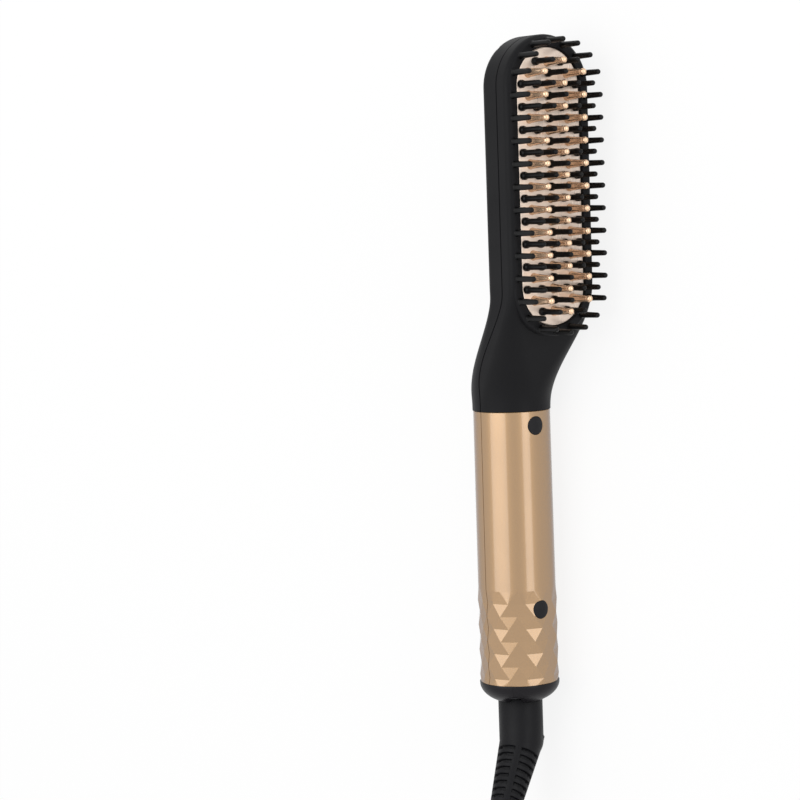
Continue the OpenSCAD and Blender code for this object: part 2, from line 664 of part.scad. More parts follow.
// The switch: knob and wiper slide together over the fixed switch body
knob_w = pocket_w - 2 * free_gap;
knob_base = pocket_floor - free_gap;
stud_h = 0.9;
stud_rows = 7;
stud_pitch = knob_len / stud_rows;
knob_top = panel_x - knob_rise + stud_h;
module knob_outline() stadium(knob_w, knob_off - knob_len / 2, knob_off + knob_len / 2);
module switch_knob() color("#111112") rest() {
    along_x(knob_top, knob_base) knob_outline();
    intersection() {
        along_x(knob_top - 2, knob_top + eps) knob_outline();
        for (i = [0 : stud_rows]) for (c = i % 2 == 0 ? [-2, 0, 2] : [-1, 1])
            translate([knob_top + eps, c * stud_pitch * 0.9, knob_off - knob_len / 2 + i * stud_pitch])
                rotate([0, -90, 0]) cylinder(r1 = stud_pitch, r2 = 0, h = stud_h, $fn = 4);
    }
    block([knob_base - eps, -stem_w / 2, knob_off - stem_len / 2], [pocket_floor + floor_t + 0.4, stem_w / 2, knob_off + stem_len / 2]);
}
wiper_top = pocket_floor + floor_t + 0.4;
switch_top = wiper_top + 1;
module switch_wiper() color("#e6e2d8") rest() {
    block([wiper_top, -1.2, knob_off - 1.5], [switch_top + 2, 1.2, knob_off + 1.5]);
}
module slide_switch() color("#3b3b40") rest() {
    mid = knob_off + travel / 2;
    difference() {
        block([switch_top, -3.4, mid - switch_body_len / 2], [board_back, 3.4, mid + switch_body_len / 2]);
        block([switch_top - 1, -1.2 - free_gap, mid - travel / 2 - 1.5 - free_gap],
              [switch_top + 2 + free_gap, 1.2 + free_gap, mid + travel / 2 + 1.5 + free_gap]);
    }
}
module control_board() color("#2f6b3f") rest() {
    difference() {
        block([board_back, -pcb_half, pcb_low], [board_back + pcb_t, pcb_half, pcb_high]);
        for (p = post_spots) translate([0, p[0], p[1]]) rod_x(2.2, board_back - 1, 2);
    }
}
module board_screws() color("silver") rest() {
    for (p = post_spots) translate([0, p[0], p[1]]) {
        rod_x(3.6, board_back + pcb_t, board_back + pcb_t + 1.3);
        rod_x(1.7, board_back - 3, board_back + pcb_t + 0.2);
    }
}
lamp_top = -handle_in + 2.2;
module lamp() color("#d44a2a") rest() {
    translate([0, 0, -lens_drop]) {
        rod_x(3, lamp_top, board_back);
        translate([lamp_top, 0, 0]) sphere(d = 1.6, $fn = round_n);
    }
}
lens_rim = 0.5;
module lamp_lens() color("#1d1516") rest() {
    along_x(panel_x - 0.25, -handle_in + 0.7) stadium(lens_w, -lens_drop - lens_len / 2, -lens_drop + lens_len / 2);
    along_x(-handle_in + 0.35, -handle_in + 1.1)
        stadium(lens_w + 2 * lens_rim, -lens_drop - lens_len / 2 - lens_rim, -lens_drop + lens_len / 2 + lens_rim);
}
module lamp_resistor() color("#b9a27c") rest() {
    translate([board_back + pcb_t + 1.3, 0, -30]) cylinder(d = 2.6, h = 7, $fn = round_n);
}

// Terminal block and contacts above the swivel
block_low = 11 - handle_len;
block_high = block_low + 6;
module terminal_block() color("#d8d4c8") rest() {
    block([-4, -9.6, block_low], [4.9, 9.6, block_high]);
}
neck_r = 5.2;
// Each slip ring: height of its middle and outside radius
ring_spots = [[block_low - 8, 6.8], [block_low - 4.4, 6]];
brush_t = 0.5;
module brush_contacts() color("#c8843c") rest() {
    for (i = [0, 1]) mirror([0, i, 0]) {
        y = ring_spots[i][1] + run_gap;
        block([-1.5, y, ring_spots[i][0] - 0.8], [1.5, y + brush_t, block_low]);
    }
}
// The end cap: two halves that meet in a plane through the handle axis
cap_z = -handle_len;
cap_low = -handle_len - cap_h;
cap_seam = 48;
cap_rim = 0.6;
hole_r = collar_r + free_gap;
dome_end = acos(hole_r / cap_r);
dome_h = (cap_h - cap_rim) / sin(dome_end);
cavity_r = handle_in - 1.2;
cavity_low = cap_low + 2.6;
collar_in_handle = 6;
// The swivel's flange lies between the cap's floor and a washer in a groove of the cap
flange_t = 2.2;
washer_t = 1.6;
groove_deep = 0.7;
flange_low = cavity_low + run_gap;
washer_low = flange_low + flange_t + run_gap;
washer_high = washer_low + washer_t;
module cap_ring() {
    top = cap_z + collar_in_handle;
    rotate_extrude($fn = 96) polygon(concat(
        [[cavity_r, top], [handle_in - seat_gap, top], [handle_in - seat_gap, cap_z], [cap_r, cap_z]],
        [for (t = [0 : 6 : dome_end]) [cap_r * cos(t), cap_z - cap_rim - dome_h * sin(t)]],
        [[hole_r, cap_low], [hole_r, cavity_low], [cavity_r, cavity_low]],
        [[cavity_r, washer_low], [cavity_r + groove_deep, washer_low]],
        [[cavity_r + groove_deep, washer_high], [cavity_r, washer_high]]));
}
module end_cap(side) {
    rotate([0, 0, -cap_seam]) difference() {
        cap_ring();
        block([-40, side > 0 ? -40 : 0, -200], [40, side > 0 ? 0 : 40, 0]);
        for (e = [-1, 1]) translate([e * (hole_r + 1.4), 0, cap_low + 0.4]) rotate([0, 45, 0]) cube([2.2, 2.2, 2.2], center = true);
    }
}
module end_cap_left() color(black) rest() end_cap(1);
module end_cap_right() color(black) rest() end_cap(-1);

module swivel_washer() color("#e9e4d6") rest() {
    difference() {
        translate([0, 0, washer_low]) cylinder(r = cavity_r + groove_deep - 0.05, h = washer_t, $fn = 96);
        translate([0, 0, washer_low - 1]) cylinder(r = neck_r + run_gap, h = 4, $fn = 96);
    }
}
knee_z = cap_low - collar_len;
core_stub = 5;
core_top = block_low - 1.5;
core_bore = 5.2;
module swivel_core() color("#2a2a2c") rest() {
    difference() {
        union() {
            translate([0, 0, flange_low]) cylinder(r = cavity_r - free_gap, h = flange_t, $fn = 96);
            translate([0, 0, flange_low]) cylinder(r = neck_r, h = core_top - flange_low, $fn = 96);
            translate([0, 0, cap_low]) cylinder(r = core_stub, h = flange_low - cap_low + eps, $fn = 96);
        }
        translate([0, 0, cap_low - 1]) cylinder(d = core_bore, h = core_top - cap_low - 1, $fn = round_n);
    }
}
module slip_rings() color("#d9b15c") rest() {
    for (p = ring_spots) translate([0, 0, p[0] - 0.9]) difference() {
        cylinder(r = p[1], h = 1.8, $fn = 96);
        translate([0, 0, -1]) cylinder(r = neck_r, h = 4, $fn = 96);
    }
}

// Inner wires, each along a route laid by hand and mirrored for its twin
wire_r = 0.8;
module wire(points) { tube(curve(points, 5), wire_r, 8, [0, 1, 0]); }
on_board = board_back + pcb_t + wire_r + 0.05;
strip_back = pack_back + film_t + strip_t / 2;
strip_front = plate_back - film_t - strip_t / 2 - 0.3;
module heater_leads() color("#b0362c") rest() {
    for (s = [-1, 1])
        wire([[s > 0 ? strip_front : strip_back, s * 3, pack_low - 4], [21, s * 3.5, 36], [15, s * 4.5, 27],
              [7, s * 5.5, 14], [3, s * 6, 4], [1.5, s * 6, -8], [0.6, s * 5, -18], [on_board, s * 4, -27]]);
}
module supply_leads() color("#4a6fae") rest() {
    for (s = [-1, 1])
        wire([[2, s * 5, block_high], [2, s * 5, block_high + 4], [1.2, s * 5, (block_high + pcb_low + 2) / 2],
              [0.4, s * 4.6, pcb_low - 2], [-0.4, s * 3.8, pcb_low + 5], [on_board, s * 3.6, pcb_low + 12]]);
}

// The boot leaves the collar at an angle, in a plane that stands nearly upright at rest
bend = 30;
bend_turn = 83;
rib_pitch = 2.6;
rib_t = 1.4;
groove = 0.9;
spine_w = 2.2;
boot_r = collar_r - 0.15;
boot_twist = 28;
boot_end_r = boot_end_d / 2;
eye_w = 3.6;
eye_len = 8;
loop_rod = 1.8;
loop_t = 3;
loop_at = 17;
module swung() {
    rest() rotate([0, 0, roll - bend_turn]) children();
}
function boot_r_at(l) = mix(boot_r, boot_end_r, l / boot_len);
rib_starts = [for (l = [5 : rib_pitch : boot_len - 4]) l];
module boot_profile() {
    polygon(concat([[0, 0], [boot_r, 0]],
        [for (l = rib_starts) let(m = l + rib_pitch - rib_t) each [
            [boot_r_at(l), -l], [boot_r_at(l) - groove, -l - 0.15],
            [boot_r_at(m) - groove, -m + 0.15], [boot_r_at(m), -m]]],
        [[boot_end_r, -boot_len], [0, -boot_len]]));
}
module spine() {
    r = spine_w / 2;
    rotate([90, 0, 0]) translate([0, 0, -r]) linear_extrude(spine_w) polygon([
        [0, -2], [boot_r_at(2) - 0.1, -2],
        [boot_r_at(boot_len - 2) - 0.1, -boot_len + 2], [0, -boot_len + 2]]);
}
module hang_loop() {
    out = boot_r_at(loop_at) + eye_w / 2 + 0.3;
    translate([-out, loop_t / 2, -loop_at]) rotate([90, 0, 0]) linear_extrude(loop_t) difference() {
        union() {
            rotate([0, 0, 90]) stadium(eye_w + 2 * loop_rod, -eye_len / 2 - loop_rod, eye_len / 2 + loop_rod);
            translate([0, -eye_len / 2 - loop_rod]) square([out - 2, eye_len + 2 * loop_rod]);
        }
        rotate([0, 0, 90]) stadium(eye_w, -eye_len / 2, eye_len / 2);
    }
}
module cord_boot() color("#242426") swung() {
    difference() {
        translate([0, 0, knee_z]) cylinder(r = collar_r, h = cap_low + 1.2 - knee_z, $fn = 96);
        translate([0, 0, cap_low]) cylinder(r = core_stub, h = 40, $fn = 96);
    }
    translate([0, 0, knee_z]) sphere(r = collar_r, $fn = 96);
    translate([0, 0, knee_z]) rotate([0, -bend, 0]) {
        rotate_extrude($fn = 96) boot_profile();
        for (t = [0 : 90 : 270]) rotate([0, 0, t + boot_twist]) spine();
        rotate([0, 0, boot_twist]) hang_loop();
    }
}

// The lead as it lies behind the handset: a free stretch, a tied hank and a tail to the plug
boot_dir = [sin(bend) * cos(bend_turn), -cos(bend), sin(bend) * sin(bend_turn)];
boot_end = [-mid_x, knee_z - mid_y, cap_r] + boot_len * boot_dir;
cord_r = cord_d / 2;
hank_x = 1.7;
hank_y = -317;
run = 84;
hank_in = 16.2;
hank_step = 6.9;
waist = 14;
layer_rise = 5.9;
layers = 4;
layer_turns = 1.5;
loop_n = 24;
run_n = 5;
run_f = run_n / loop_n;
arc_f = 0.5 - run_f;
lift = 1;
// Half width of the hank at distance y from its tie, for a loop of radius r
function drawn(r, y) = r - waist * pow(cos(90 * min(1, abs(y) / (run / 2))), 2);
// The loops spiral in and out again, and turn back while they change layer along a run
function radius_at(t) =
    let(u = t < 2 * layer_turns + run_f / 2 ? t - layer_turns : t - 3 * layer_turns)
    hank_in + hank_step * max(0, abs(u - run_f / 2) - run_f / 2);
function dropped(t) = smooth((t - layer_turns) / run_f) + smooth((t - 2 * layer_turns) / run_f)
    + smooth((t - 3 * layer_turns) / run_f);
function raised(y) = lift * smooth((26 - abs(y)) / 14);
function hank_point(t) =
    let(q = t - floor(t), r = radius_at(t), half = run / 2, z = cord_r + layer_rise * (layers - 1 - dropped(t)))
    q < run_f ? let(y = half - run * q / run_f) [hank_x - drawn(r, y), hank_y + y, z + raised(y)]
    : q < 0.5 ? let(a = 180 * (q - run_f) / arc_f) [hank_x - r * cos(a), hank_y - half - r * sin(a), z]
    : q < 0.5 + run_f ? let(y = run * (q - 0.5) / run_f - half)
        [hank_x + drawn(r, y), hank_y + y, z + raised(y)]
    : let(a = 180 * (q - 0.5 - run_f) / arc_f) [hank_x + r * cos(a), hank_y + half + r * sin(a), z];
hank_n = layers * layer_turns * loop_n + run_n;
hank = [for (i = [0 : hank_n]) hank_point((i + 0.0001) / loop_n)];
// The least distance between the hank's surface and itself, measured from points to stretches
function to_stretch(p, a, b) = let(d = b - a, t = max(0, min(1, (p - a) * d / (d * d)))) norm(p - a - t * d);
hank_gap = min([for (i = [0 : hank_n]) for (j = [0 : hank_n - 1])
    if (abs(i - j - 0.5) > 6) to_stretch(hank[i], hank[j], hank[j + 1])]) - cord_d;
echo(least_gap_in_the_hank_mm = hank_gap);

// Points of the free stretch and of the tail, chosen by hand
plug_at = [-10, -403];
lead_points = [[-9, -186, 42], [-10, -202, 41], [-13, -218, 35], [-17, -234, 28], [-21.5, -250, 22.5]];
tail_points = [[-22.5, -374, 3], [-17, -385, 4.5], [-11.5, -394, 6.5]];
hank_start = hank[0];
hank_stop = hank[hank_n];
lead_route = concat([boot_end, boot_end + cord_d * boot_dir],
    curve(concat([boot_end + cord_d * boot_dir], lead_points, [hank_start - cord_d * tangent(hank, 0)]), 2),
    [hank_start]);
tail_route = concat([hank_stop],
    curve(concat([hank_stop + cord_d * tangent(hank, hank_n)], tail_points, [[plug_at[0], plug_at[1] + cord_d, plug_t / 2]]), 2),
    [[plug_at[0], plug_at[1], plug_t / 2]]);
module power_lead() color("#1f1f21") {
    tube([for (i = [0 : len(lead_route) - 1]) if (i != 1) lead_route[i]], cord_r, 8);
}
module lead_hank() color("#1f1f21") {
    tube(hank, cord_r, 6);
}
module lead_tail() color("#1f1f21") {
    tube(tail_route, cord_r, 8);
}

// A strap round the hank's waist
tie_t = 0.7;
tie_w = 10;
waist_x = [for (p = hank) if (abs(p[1] - hank_y) < run / 4) p[0]];
tie_low_x = min(waist_x) - cord_r - free_gap;
tie_high_x = max(waist_x) + cord_r + free_gap;
tie_high_z = lift + layer_rise * (layers - 1) + cord_d + free_gap;
module round_box(low, high, r) {
    for (x = [low[0] + r, high[0] - r]) for (y = [low[1] + r, high[1] - r])
        translate([x, y]) circle(r = r, $fn = 32);
    translate([low[0] + r, low[1]]) square([high[0] - low[0] - 2 * r, high[1] - low[1]]);
    translate([low[0], low[1] + r]) square([high[0] - low[0], high[1] - low[1] - 2 * r]);
}
module hank_tie() color("#3a3a3d") {
    translate([0, hank_y + tie_w / 2, 0]) rotate([90, 0, 0]) linear_extrude(tie_w) difference() {
        round_box([tie_low_x - tie_t, 0], [tie_high_x + tie_t, tie_high_z + tie_t], 2 + tie_t);
        round_box([tie_low_x, tie_t], [tie_high_x, tie_high_z], 2);
    }
}

// A flat two-pin plug that lies on its side
plug_front = plug_at[1] - plug_len;
neck_w = 15;
pin_root = 8;
module plug_body() color("#202022") {
    difference() {
        intersection() {
            linear_extrude(plug_t) translate(plug_at) polygon([
                [-neck_w / 2, 0], [neck_w / 2, 0], [neck_w / 2 + 1, -10], [plug_w / 2 - 1, -22],
                [plug_w / 2, -26], [plug_w / 2, -plug_len + 1], [plug_w / 2 - 1, -plug_len],
                [-plug_w / 2 + 1, -plug_len], [-plug_w / 2, -plug_len + 1], [-plug_w / 2, -26],
                [-plug_w / 2 + 1, -22], [-neck_w / 2 - 1, -10]]);
            translate([-60, 0, 0]) rotate([90, 0, 90]) linear_extrude(120) polygon([
                [plug_at[1], 1.8], [plug_at[1], plug_t - 1.8], [plug_at[1] - 12, plug_t - 0.9],
                [plug_front + 9, plug_t], [plug_front + 1, plug_t], [plug_front, plug_t - 1],
                [plug_front, 1], [plug_front + 1, 0], [plug_front + 9, 0], [plug_at[1] - 12, 0.9]]);
        }
        for (s = [-1, 1]) for (k = [0 : 3])
            translate([plug_at[0] + s * (neck_w / 2 + 1), plug_at[1] - 2.5 - 2.2 * k, -1])
                translate([-1.2, -0.6, 0]) cube([2.4, 1.1, plug_t + 2]);
        for (s = [-1, 1]) translate([plug_at[0] + s * pin_gap / 2, plug_front + pin_root, plug_t / 2])
            rotate([90, 0, 0]) cylinder(d = pin_d - 0.6, h = pin_root + 4, $fn = round_n);
    }
}
module plug_pins() color("silver") {
    for (s = [-1, 1]) translate([plug_at[0] + s * pin_gap / 2, plug_front, plug_t / 2]) {
        translate([0, pin_root, 0]) rotate([90, 0, 0]) cylinder(d = pin_d - 0.6, h = pin_root + 1, $fn = round_n);
        rotate([90, 0, 0]) cylinder(d = pin_d, h = pin_len - pin_d / 2, $fn = round_n);
        translate([0, pin_d / 2 - pin_len, 0]) sphere(d = pin_d, $fn = round_n);
    }
}

head_rear_shell();
head_front_shell();
edge_bristles();
heating_plate();
heated_teeth();
inner_bristles();
ptc_stones();
electrode_strips();
heater_film();
heater_clamp();
insulation_board();
clamp_screws();
thermal_fuse();
thermistor();
heater_leads();
handle_rear_shell();
handle_front_shell();
switch_knob();
switch_wiper();
slide_switch();
control_board();
board_screws();
lamp();
lamp_lens();
lamp_resistor();
handle_screws();
screw_plugs();
terminal_block();
supply_leads();
end_cap_left();
end_cap_right();
swivel_washer();
brush_contacts();
swivel_core();
slip_rings();
cord_boot();
power_lead();
lead_hank();
lead_tail();
hank_tie();
plug_body();
plug_pins();
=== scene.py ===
# %% [markdown]
# # A beard straightener, dressed for its portrait
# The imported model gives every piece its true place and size. This lesson puts skins, fine edges
# and materials on it, and lights it as a small studio would. All drawing is in millimetres in an
# upright frame: z runs along the handle to the head, x is the way the teeth point. One matrix lays
# that drawing on its side, as the CAD model lies, and turns it to metres.

# %% Load the frame
from math import acos, asin, atan2, copysign, cos, degrees, hypot, pi, radians, sin, sqrt

import bmesh
import bpy
import numpy as np
from mathutils import Matrix, Vector


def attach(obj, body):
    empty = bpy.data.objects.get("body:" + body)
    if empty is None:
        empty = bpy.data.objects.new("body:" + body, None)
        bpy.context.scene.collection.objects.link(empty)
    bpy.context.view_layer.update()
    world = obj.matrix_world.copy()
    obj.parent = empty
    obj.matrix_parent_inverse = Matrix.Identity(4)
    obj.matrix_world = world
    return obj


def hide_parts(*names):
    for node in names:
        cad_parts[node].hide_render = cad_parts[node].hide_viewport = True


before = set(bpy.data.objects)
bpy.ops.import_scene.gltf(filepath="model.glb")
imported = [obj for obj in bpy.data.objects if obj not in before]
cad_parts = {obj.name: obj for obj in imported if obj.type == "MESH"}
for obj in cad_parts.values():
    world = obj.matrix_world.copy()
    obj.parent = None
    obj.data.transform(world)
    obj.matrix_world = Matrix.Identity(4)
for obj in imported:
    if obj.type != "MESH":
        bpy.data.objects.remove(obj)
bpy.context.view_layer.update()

# %% From the upright drawing to the table
MM = 0.001
HANDLE_R, HANDLE_LOW_R, HANDLE_LEN, CAP_R, CAP_H = 14.2, 14.4, 101.0, 14.8, 8.0
HEAD_A, HEAD_LEN, HEAD_REAR, REAR_ROUND = 18.9, 135.2, 11.6, 3.4
PLATE_FACE, EDGE_H, EDGE_W, EDGE_D = 26.9, 10.3, 16.4, 2.3

# The handset rests on its cap and on the rear shoulder of its head, which gives the roll.
shoulder = (HEAD_REAR + REAR_ROUND, HEAD_A - REAR_ROUND)
ROLL = atan2(shoulder[1], shoulder[0]) - asin((CAP_R - REAR_ROUND) / hypot(*shoulder))
reach = (PLATE_FACE + EDGE_H - EDGE_D / 2) * cos(ROLL) + EDGE_W * sin(ROLL) + EDGE_D / 2
MID_X, MID_Y = (reach - CAP_R) / 2, (HEAD_LEN - HANDLE_LEN - CAP_H) / 2
LAY = Matrix((
    (cos(ROLL), sin(ROLL), 0, -MID_X),
    (0, 0, 1, -MID_Y),
    (sin(ROLL), -cos(ROLL), 0, CAP_R),
    (0, 0, 0, 1),
))
TABLE = Matrix.Scale(MM, 4)
UPRIGHT = TABLE @ LAY
print("roll %.2f degrees, middle %.2f, %.2f mm" % (degrees(ROLL), MID_X, MID_Y))


def add(name, data):
    """Puts new data into the scene as an object."""
    made = bpy.data.objects.new(name, data)
    bpy.context.scene.collection.objects.link(made)
    return made


def facing(x_way, y_way, z_way, place):
    """The matrix of an object at a place, whose own axes point these ways."""
    return Matrix.Translation(place) @ Matrix((x_way, y_way, z_way)).transposed().to_4x4()


# %% [markdown]
# ## The camera
# The photograph shows the same object twice. This view is its right-hand copy, with the teeth.
# The angles were fitted to twenty marks on that copy. A long lens from far away keeps the handle's
# sides nearly parallel, and the shift puts the object right of the middle, as in the photograph.

# %% Camera
PHOTO, SENSOR, DISTANCE, PX_PER_MM, AIM_Z = 800, 36, 871.66, 2.71, 2.77
turn, lift, tilt = radians(37.56) + ROLL, radians(4.73), radians(1.75)
aim_px = (511.28, 401.4)
side, along = Vector((cos(turn), 0, sin(turn))), Vector((0, 1, 0))
back = side * cos(lift) + along * sin(lift)
up = along * cos(lift) - side * sin(lift)
right = up.cross(back)
right, up = right * cos(tilt) - up * sin(tilt), up * cos(tilt) + right * sin(tilt)

camera_data = bpy.data.cameras.new("photo_camera")
camera = add("photo_camera", camera_data)
camera.matrix_world = facing(right, up, back, (LAY @ Vector((0, 0, AIM_Z)) + back * DISTANCE) * MM)
camera_data.sensor_width = SENSOR
camera_data.lens = PX_PER_MM * DISTANCE / PHOTO * SENSOR
camera_data.shift_x = (PHOTO / 2 - aim_px[0]) / PHOTO
camera_data.shift_y = (aim_px[1] - PHOTO / 2) / PHOTO
camera_data.clip_start, camera_data.clip_end = 0.01, 20
bpy.context.scene.camera = camera
print("lens %.1f mm, shift %.4f, %.4f" % (camera_data.lens, camera_data.shift_x, camera_data.shift_y))

# %% [markdown]
# ## The lead first
# A mains lead is one fixed length of round cable, so it is one open spline with a round bevel. A
# mesh tube would do too, but a spline keeps its own length, which can be measured. It leaves the
# ribbed boot, arches down behind the handset and is put away as a flat hank of four layers, each
# a loop and a half, with its waist pinched by a strap. The last stretch goes to the plug.

# %% The route of the lead
CORD_D = 5.4
CORD_R = CORD_D / 2
BEND, BEND_TURN, BOOT_LEN = radians(30), radians(83), 40.0
KNEE_Z = -HANDLE_LEN - CAP_H - 15.0
HANK_X, HANK_Y, RUN, WAIST, CROSS_LEN, CROSS_EASE = 1.7, -317.0, 84.0, 14.0, 26, 14
HANK_IN, HANK_STEP, LAYER_RISE, LAYERS, TURNS, LOOP_STEPS = 16.2, 6.9, 5.9, 4, 1.5, 48
PLUG_X, PLUG_Y, PLUG_T, PLUG_LEN = -10.0, -403.0, 13.8, 38.0
RUN_SHARE = 5 / 24
ARC_SHARE = 0.5 - RUN_SHARE


def smooth(t):
    t = np.clip(t, 0, 1)
    return t * t * (3 - 2 * t)


def mix(a, b, t):
    return a + (b - a) * t


def hank_point(t):
    """Where the lead's middle is after t loops of the hank, in mm on the table."""
    q = t % 1
    since_turn = t - TURNS if t < 2 * TURNS + RUN_SHARE / 2 else t - 3 * TURNS
    r = HANK_IN + HANK_STEP * max(0, abs(since_turn - RUN_SHARE / 2) - RUN_SHARE / 2)
    dropped = sum(float(smooth((t - k * TURNS) / RUN_SHARE)) for k in (1, 2, 3))
    z = CORD_R + LAYER_RISE * (LAYERS - 1 - dropped)
    half = RUN / 2

    def straight(y, sign):
        pinch = WAIST * cos(radians(90 * min(1, abs(y) / half))) ** 2
        return (HANK_X + sign * (r - pinch), HANK_Y + y,
                z + float(smooth((CROSS_LEN - abs(y)) / CROSS_EASE)))

    if q < RUN_SHARE:
        return straight(half - RUN * q / RUN_SHARE, -1)
    if 0.5 <= q < 0.5 + RUN_SHARE:
        return straight(RUN * (q - 0.5) / RUN_SHARE - half, 1)
    sign = -1 if q < 0.5 else 1
    a = pi * (q % 0.5 - RUN_SHARE) / ARC_SHARE
    return (HANK_X + sign * r * cos(a), HANK_Y + sign * (half + r * sin(a)), z)


def curve_through(points, steps=4):
    """A smooth curve through chosen points, with steps points between two of them."""
    p = [np.array(point, float) for point in points]
    out = []
    for i in range(len(p) - 1):
        a, b, c, d = p[max(i - 1, 0)], p[i], p[i + 1], p[min(i + 2, len(p) - 1)]
        for t in np.arange(steps) / steps:
            out.append(0.5 * (2 * b + (c - a) * t + (2 * a - 5 * b + 4 * c - d) * t**2
                              + (3 * b - a - 3 * c + d) * t**3))
    return out + [p[-1]]


def way_between(a, b):
    return (b - a) / np.linalg.norm(b - a)


boot_dir = np.array((sin(BEND) * cos(BEND_TURN), -cos(BEND), sin(BEND) * sin(BEND_TURN)))
boot_end = np.array((-MID_X, KNEE_Z - MID_Y, CAP_R)) + BOOT_LEN * boot_dir
past_seam = 0.0002  # keeps every point clear of the jump from one loop to the next
hank = [np.array(hank_point((i + past_seam) / LOOP_STEPS))
        for i in range(int(LAYERS * TURNS * LOOP_STEPS) + 11)]
lead_points = [(-9, -186, 42), (-10, -202, 41), (-13, -218, 35), (-17, -234, 28), (-21.5, -250, 22.5)]
tail_points = [(-22.5, -374, 3), (-17, -385, 4.5), (-11.5, -394, 6.5)]
plug_top = np.array((PLUG_X, PLUG_Y, PLUG_T / 2))
route = [boot_end - 2 * boot_dir, boot_end]
route += curve_through([boot_end + CORD_D * boot_dir, *lead_points,
                        hank[0] - CORD_D * way_between(hank[0], hank[1])])
route += hank
route += curve_through([hank[-1] + CORD_D * way_between(hank[-2], hank[-1]), *tail_points,
                        plug_top + (0, CORD_D, 0)])
route += [plug_top]

# %% The lead as a spline
lead_curve = bpy.data.curves.new("mains_lead", "CURVE")
lead_curve.dimensions = "3D"
lead_curve.bevel_depth = CORD_R * MM
lead_curve.bevel_resolution = 5
lead_curve.use_fill_caps = True
spline = lead_curve.splines.new("POLY")
spline.points.add(len(route) - 1)
for point, place in zip(spline.points, route):
    point.co = (*(place * MM), 1)
spline.use_smooth = True
mains_lead = add("mains_lead", lead_curve)

# %% [markdown]
# ## Colours, nodes and meshes
# Hex colours are sRGB, as a paint chip is read from a screen, and Blender works in linear light, so
# one function turns them. One more adds a node with its settings and links. Meshes are made from
# lists of points in millimetres and laid down by the matrix above.

# %% Helpers
def linear(hex_colour):
    """An sRGB hex colour as linear red, green, blue, alpha."""
    parts = [int(hex_colour[i:i + 2], 16) / 255 for i in (1, 3, 5)]
    return tuple(c / 12.92 if c <= 0.04045 else ((c + 0.055) / 1.055) ** 2.4 for c in parts) + (1,)


def node(tree, kind, inputs=None, **settings):
    """Adds a node; inputs maps a socket's name or number to a value or to another node's output."""
    made = tree.nodes.new("ShaderNode" + kind)
    for name, value in settings.items():
        setattr(made, name, value)
    for name, value in (inputs or {}).items():
        if isinstance(value, bpy.types.NodeSocket):
            tree.links.new(value, made.inputs[name])
        else:
            made.inputs[name].default_value = value
    return made


def piece(name, points, faces, matrix=UPRIGHT, is_smooth=True):
    """A mesh object made from points in mm. Its place is in its mesh."""
    mesh = bpy.data.meshes.new(name)
    mesh.from_pydata([matrix @ Vector(point) for point in points], [], faces)
    mesh.polygons.foreach_set("use_smooth", [is_smooth] * len(mesh.polygons))
    return add(name, mesh)


def keep(work, mesh):
    """Writes an edited mesh back."""
    work.to_mesh(mesh)
    work.free()


def tidy(target, weld=1e-7):
    """Welds doubled points, drops flat faces and turns all faces outwards."""
    work = bmesh.new()
    work.from_mesh(target.data)
    bmesh.ops.remove_doubles(work, verts=work.verts, dist=weld)
    bmesh.ops.dissolve_degenerate(work, edges=work.edges, dist=weld)
    bmesh.ops.recalc_face_normals(work, faces=work.faces)
    keep(work, target.data)
    return target


def settle(target):
    """Applies every modifier of an object to its mesh."""
    graph = bpy.context.evaluated_depsgraph_get()
    mesh = bpy.data.meshes.new_from_object(target.evaluated_get(graph))
    old = target.data
    target.modifiers.clear()
    target.data = mesh
    bpy.data.meshes.remove(old)
    mesh.name = target.name
    return target


def carve(target, *tools, how="DIFFERENCE"):
    """Cuts the tools out of the target, or joins them to it, and removes the tools."""
    for tool in tools:
        cut = target.modifiers.new("cut", "BOOLEAN")
        cut.operation, cut.object, cut.solver = how, tool, "EXACT"
    settle(target)
    for tool in tools:
        bpy.data.objects.remove(tool)


def crease(target, angle):
    """Keeps edges sharper than this as edges and flat faces flat, and shades the rest smooth."""
    is_smooth = [face.use_smooth for face in target.data.polygons]
    target.data.set_sharp_from_angle(angle=radians(angle))
    target.data.polygons.foreach_set("use_smooth", is_smooth)
    return target


def dress(target, paint, body, slot, *nodes):
    """Gives a piece its material and its body, and hides the CAD nodes that it stands for. slot is not
    used.
    """
    target.data.materials.clear()
    target.data.materials.append(paint)
    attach(target, body)
    if nodes:
        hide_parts(*nodes)
    print("%s: %d faces" % (target.name, len(target.data.polygons)))


def strips(rows, columns, closed=False, start=0, wrap=False):
    """Quads between neighbouring rows of a grid of points. closed joins the last column to the
    first, and wrap the last row to the first."""
    return [(start + j * columns + i, start + j * columns + (i + 1) % columns,
             start + (j + 1) % rows * columns + (i + 1) % columns, start + (j + 1) % rows * columns + i)
            for j in range(rows if wrap else rows - 1) for i in range(columns if closed else columns - 1)]


def tube(rows, columns, start=0):
    """The faces of a closed tube: its wall and its two ends."""
    last = start + (rows - 1) * columns
    return strips(rows, columns, True, start) + [tuple(range(start, start + columns)),
                                                 tuple(range(last, last + columns))]


def polar(r, angle):
    """A point on a circle, angle in degrees."""
    return r * cos(radians(angle)), r * sin(radians(angle))


def arc(centre, r, low, high, steps):
    """Points of an arc between two angles in degrees, both ends included."""
    return [(centre[0] + x, centre[1] + y) for x, y in
            (polar(r, a) for a in np.linspace(low, high, steps + 1))]


def round_points(r, count):
    """Points of a full circle about the origin."""
    return [(r * cos(2 * pi * k / count), r * sin(2 * pi * k / count)) for k in range(count)]


def lathe(name, profile, count, matrix=UPRIGHT):
    """Turns a closed outline of (height, radius) pairs round the z axis of the drawing."""
    points = [(r * c, r * s, z) for c, s in round_points(1, count) for z, r in profile]
    return tidy(piece(name, points, strips(count, len(profile), True, wrap=True), matrix))


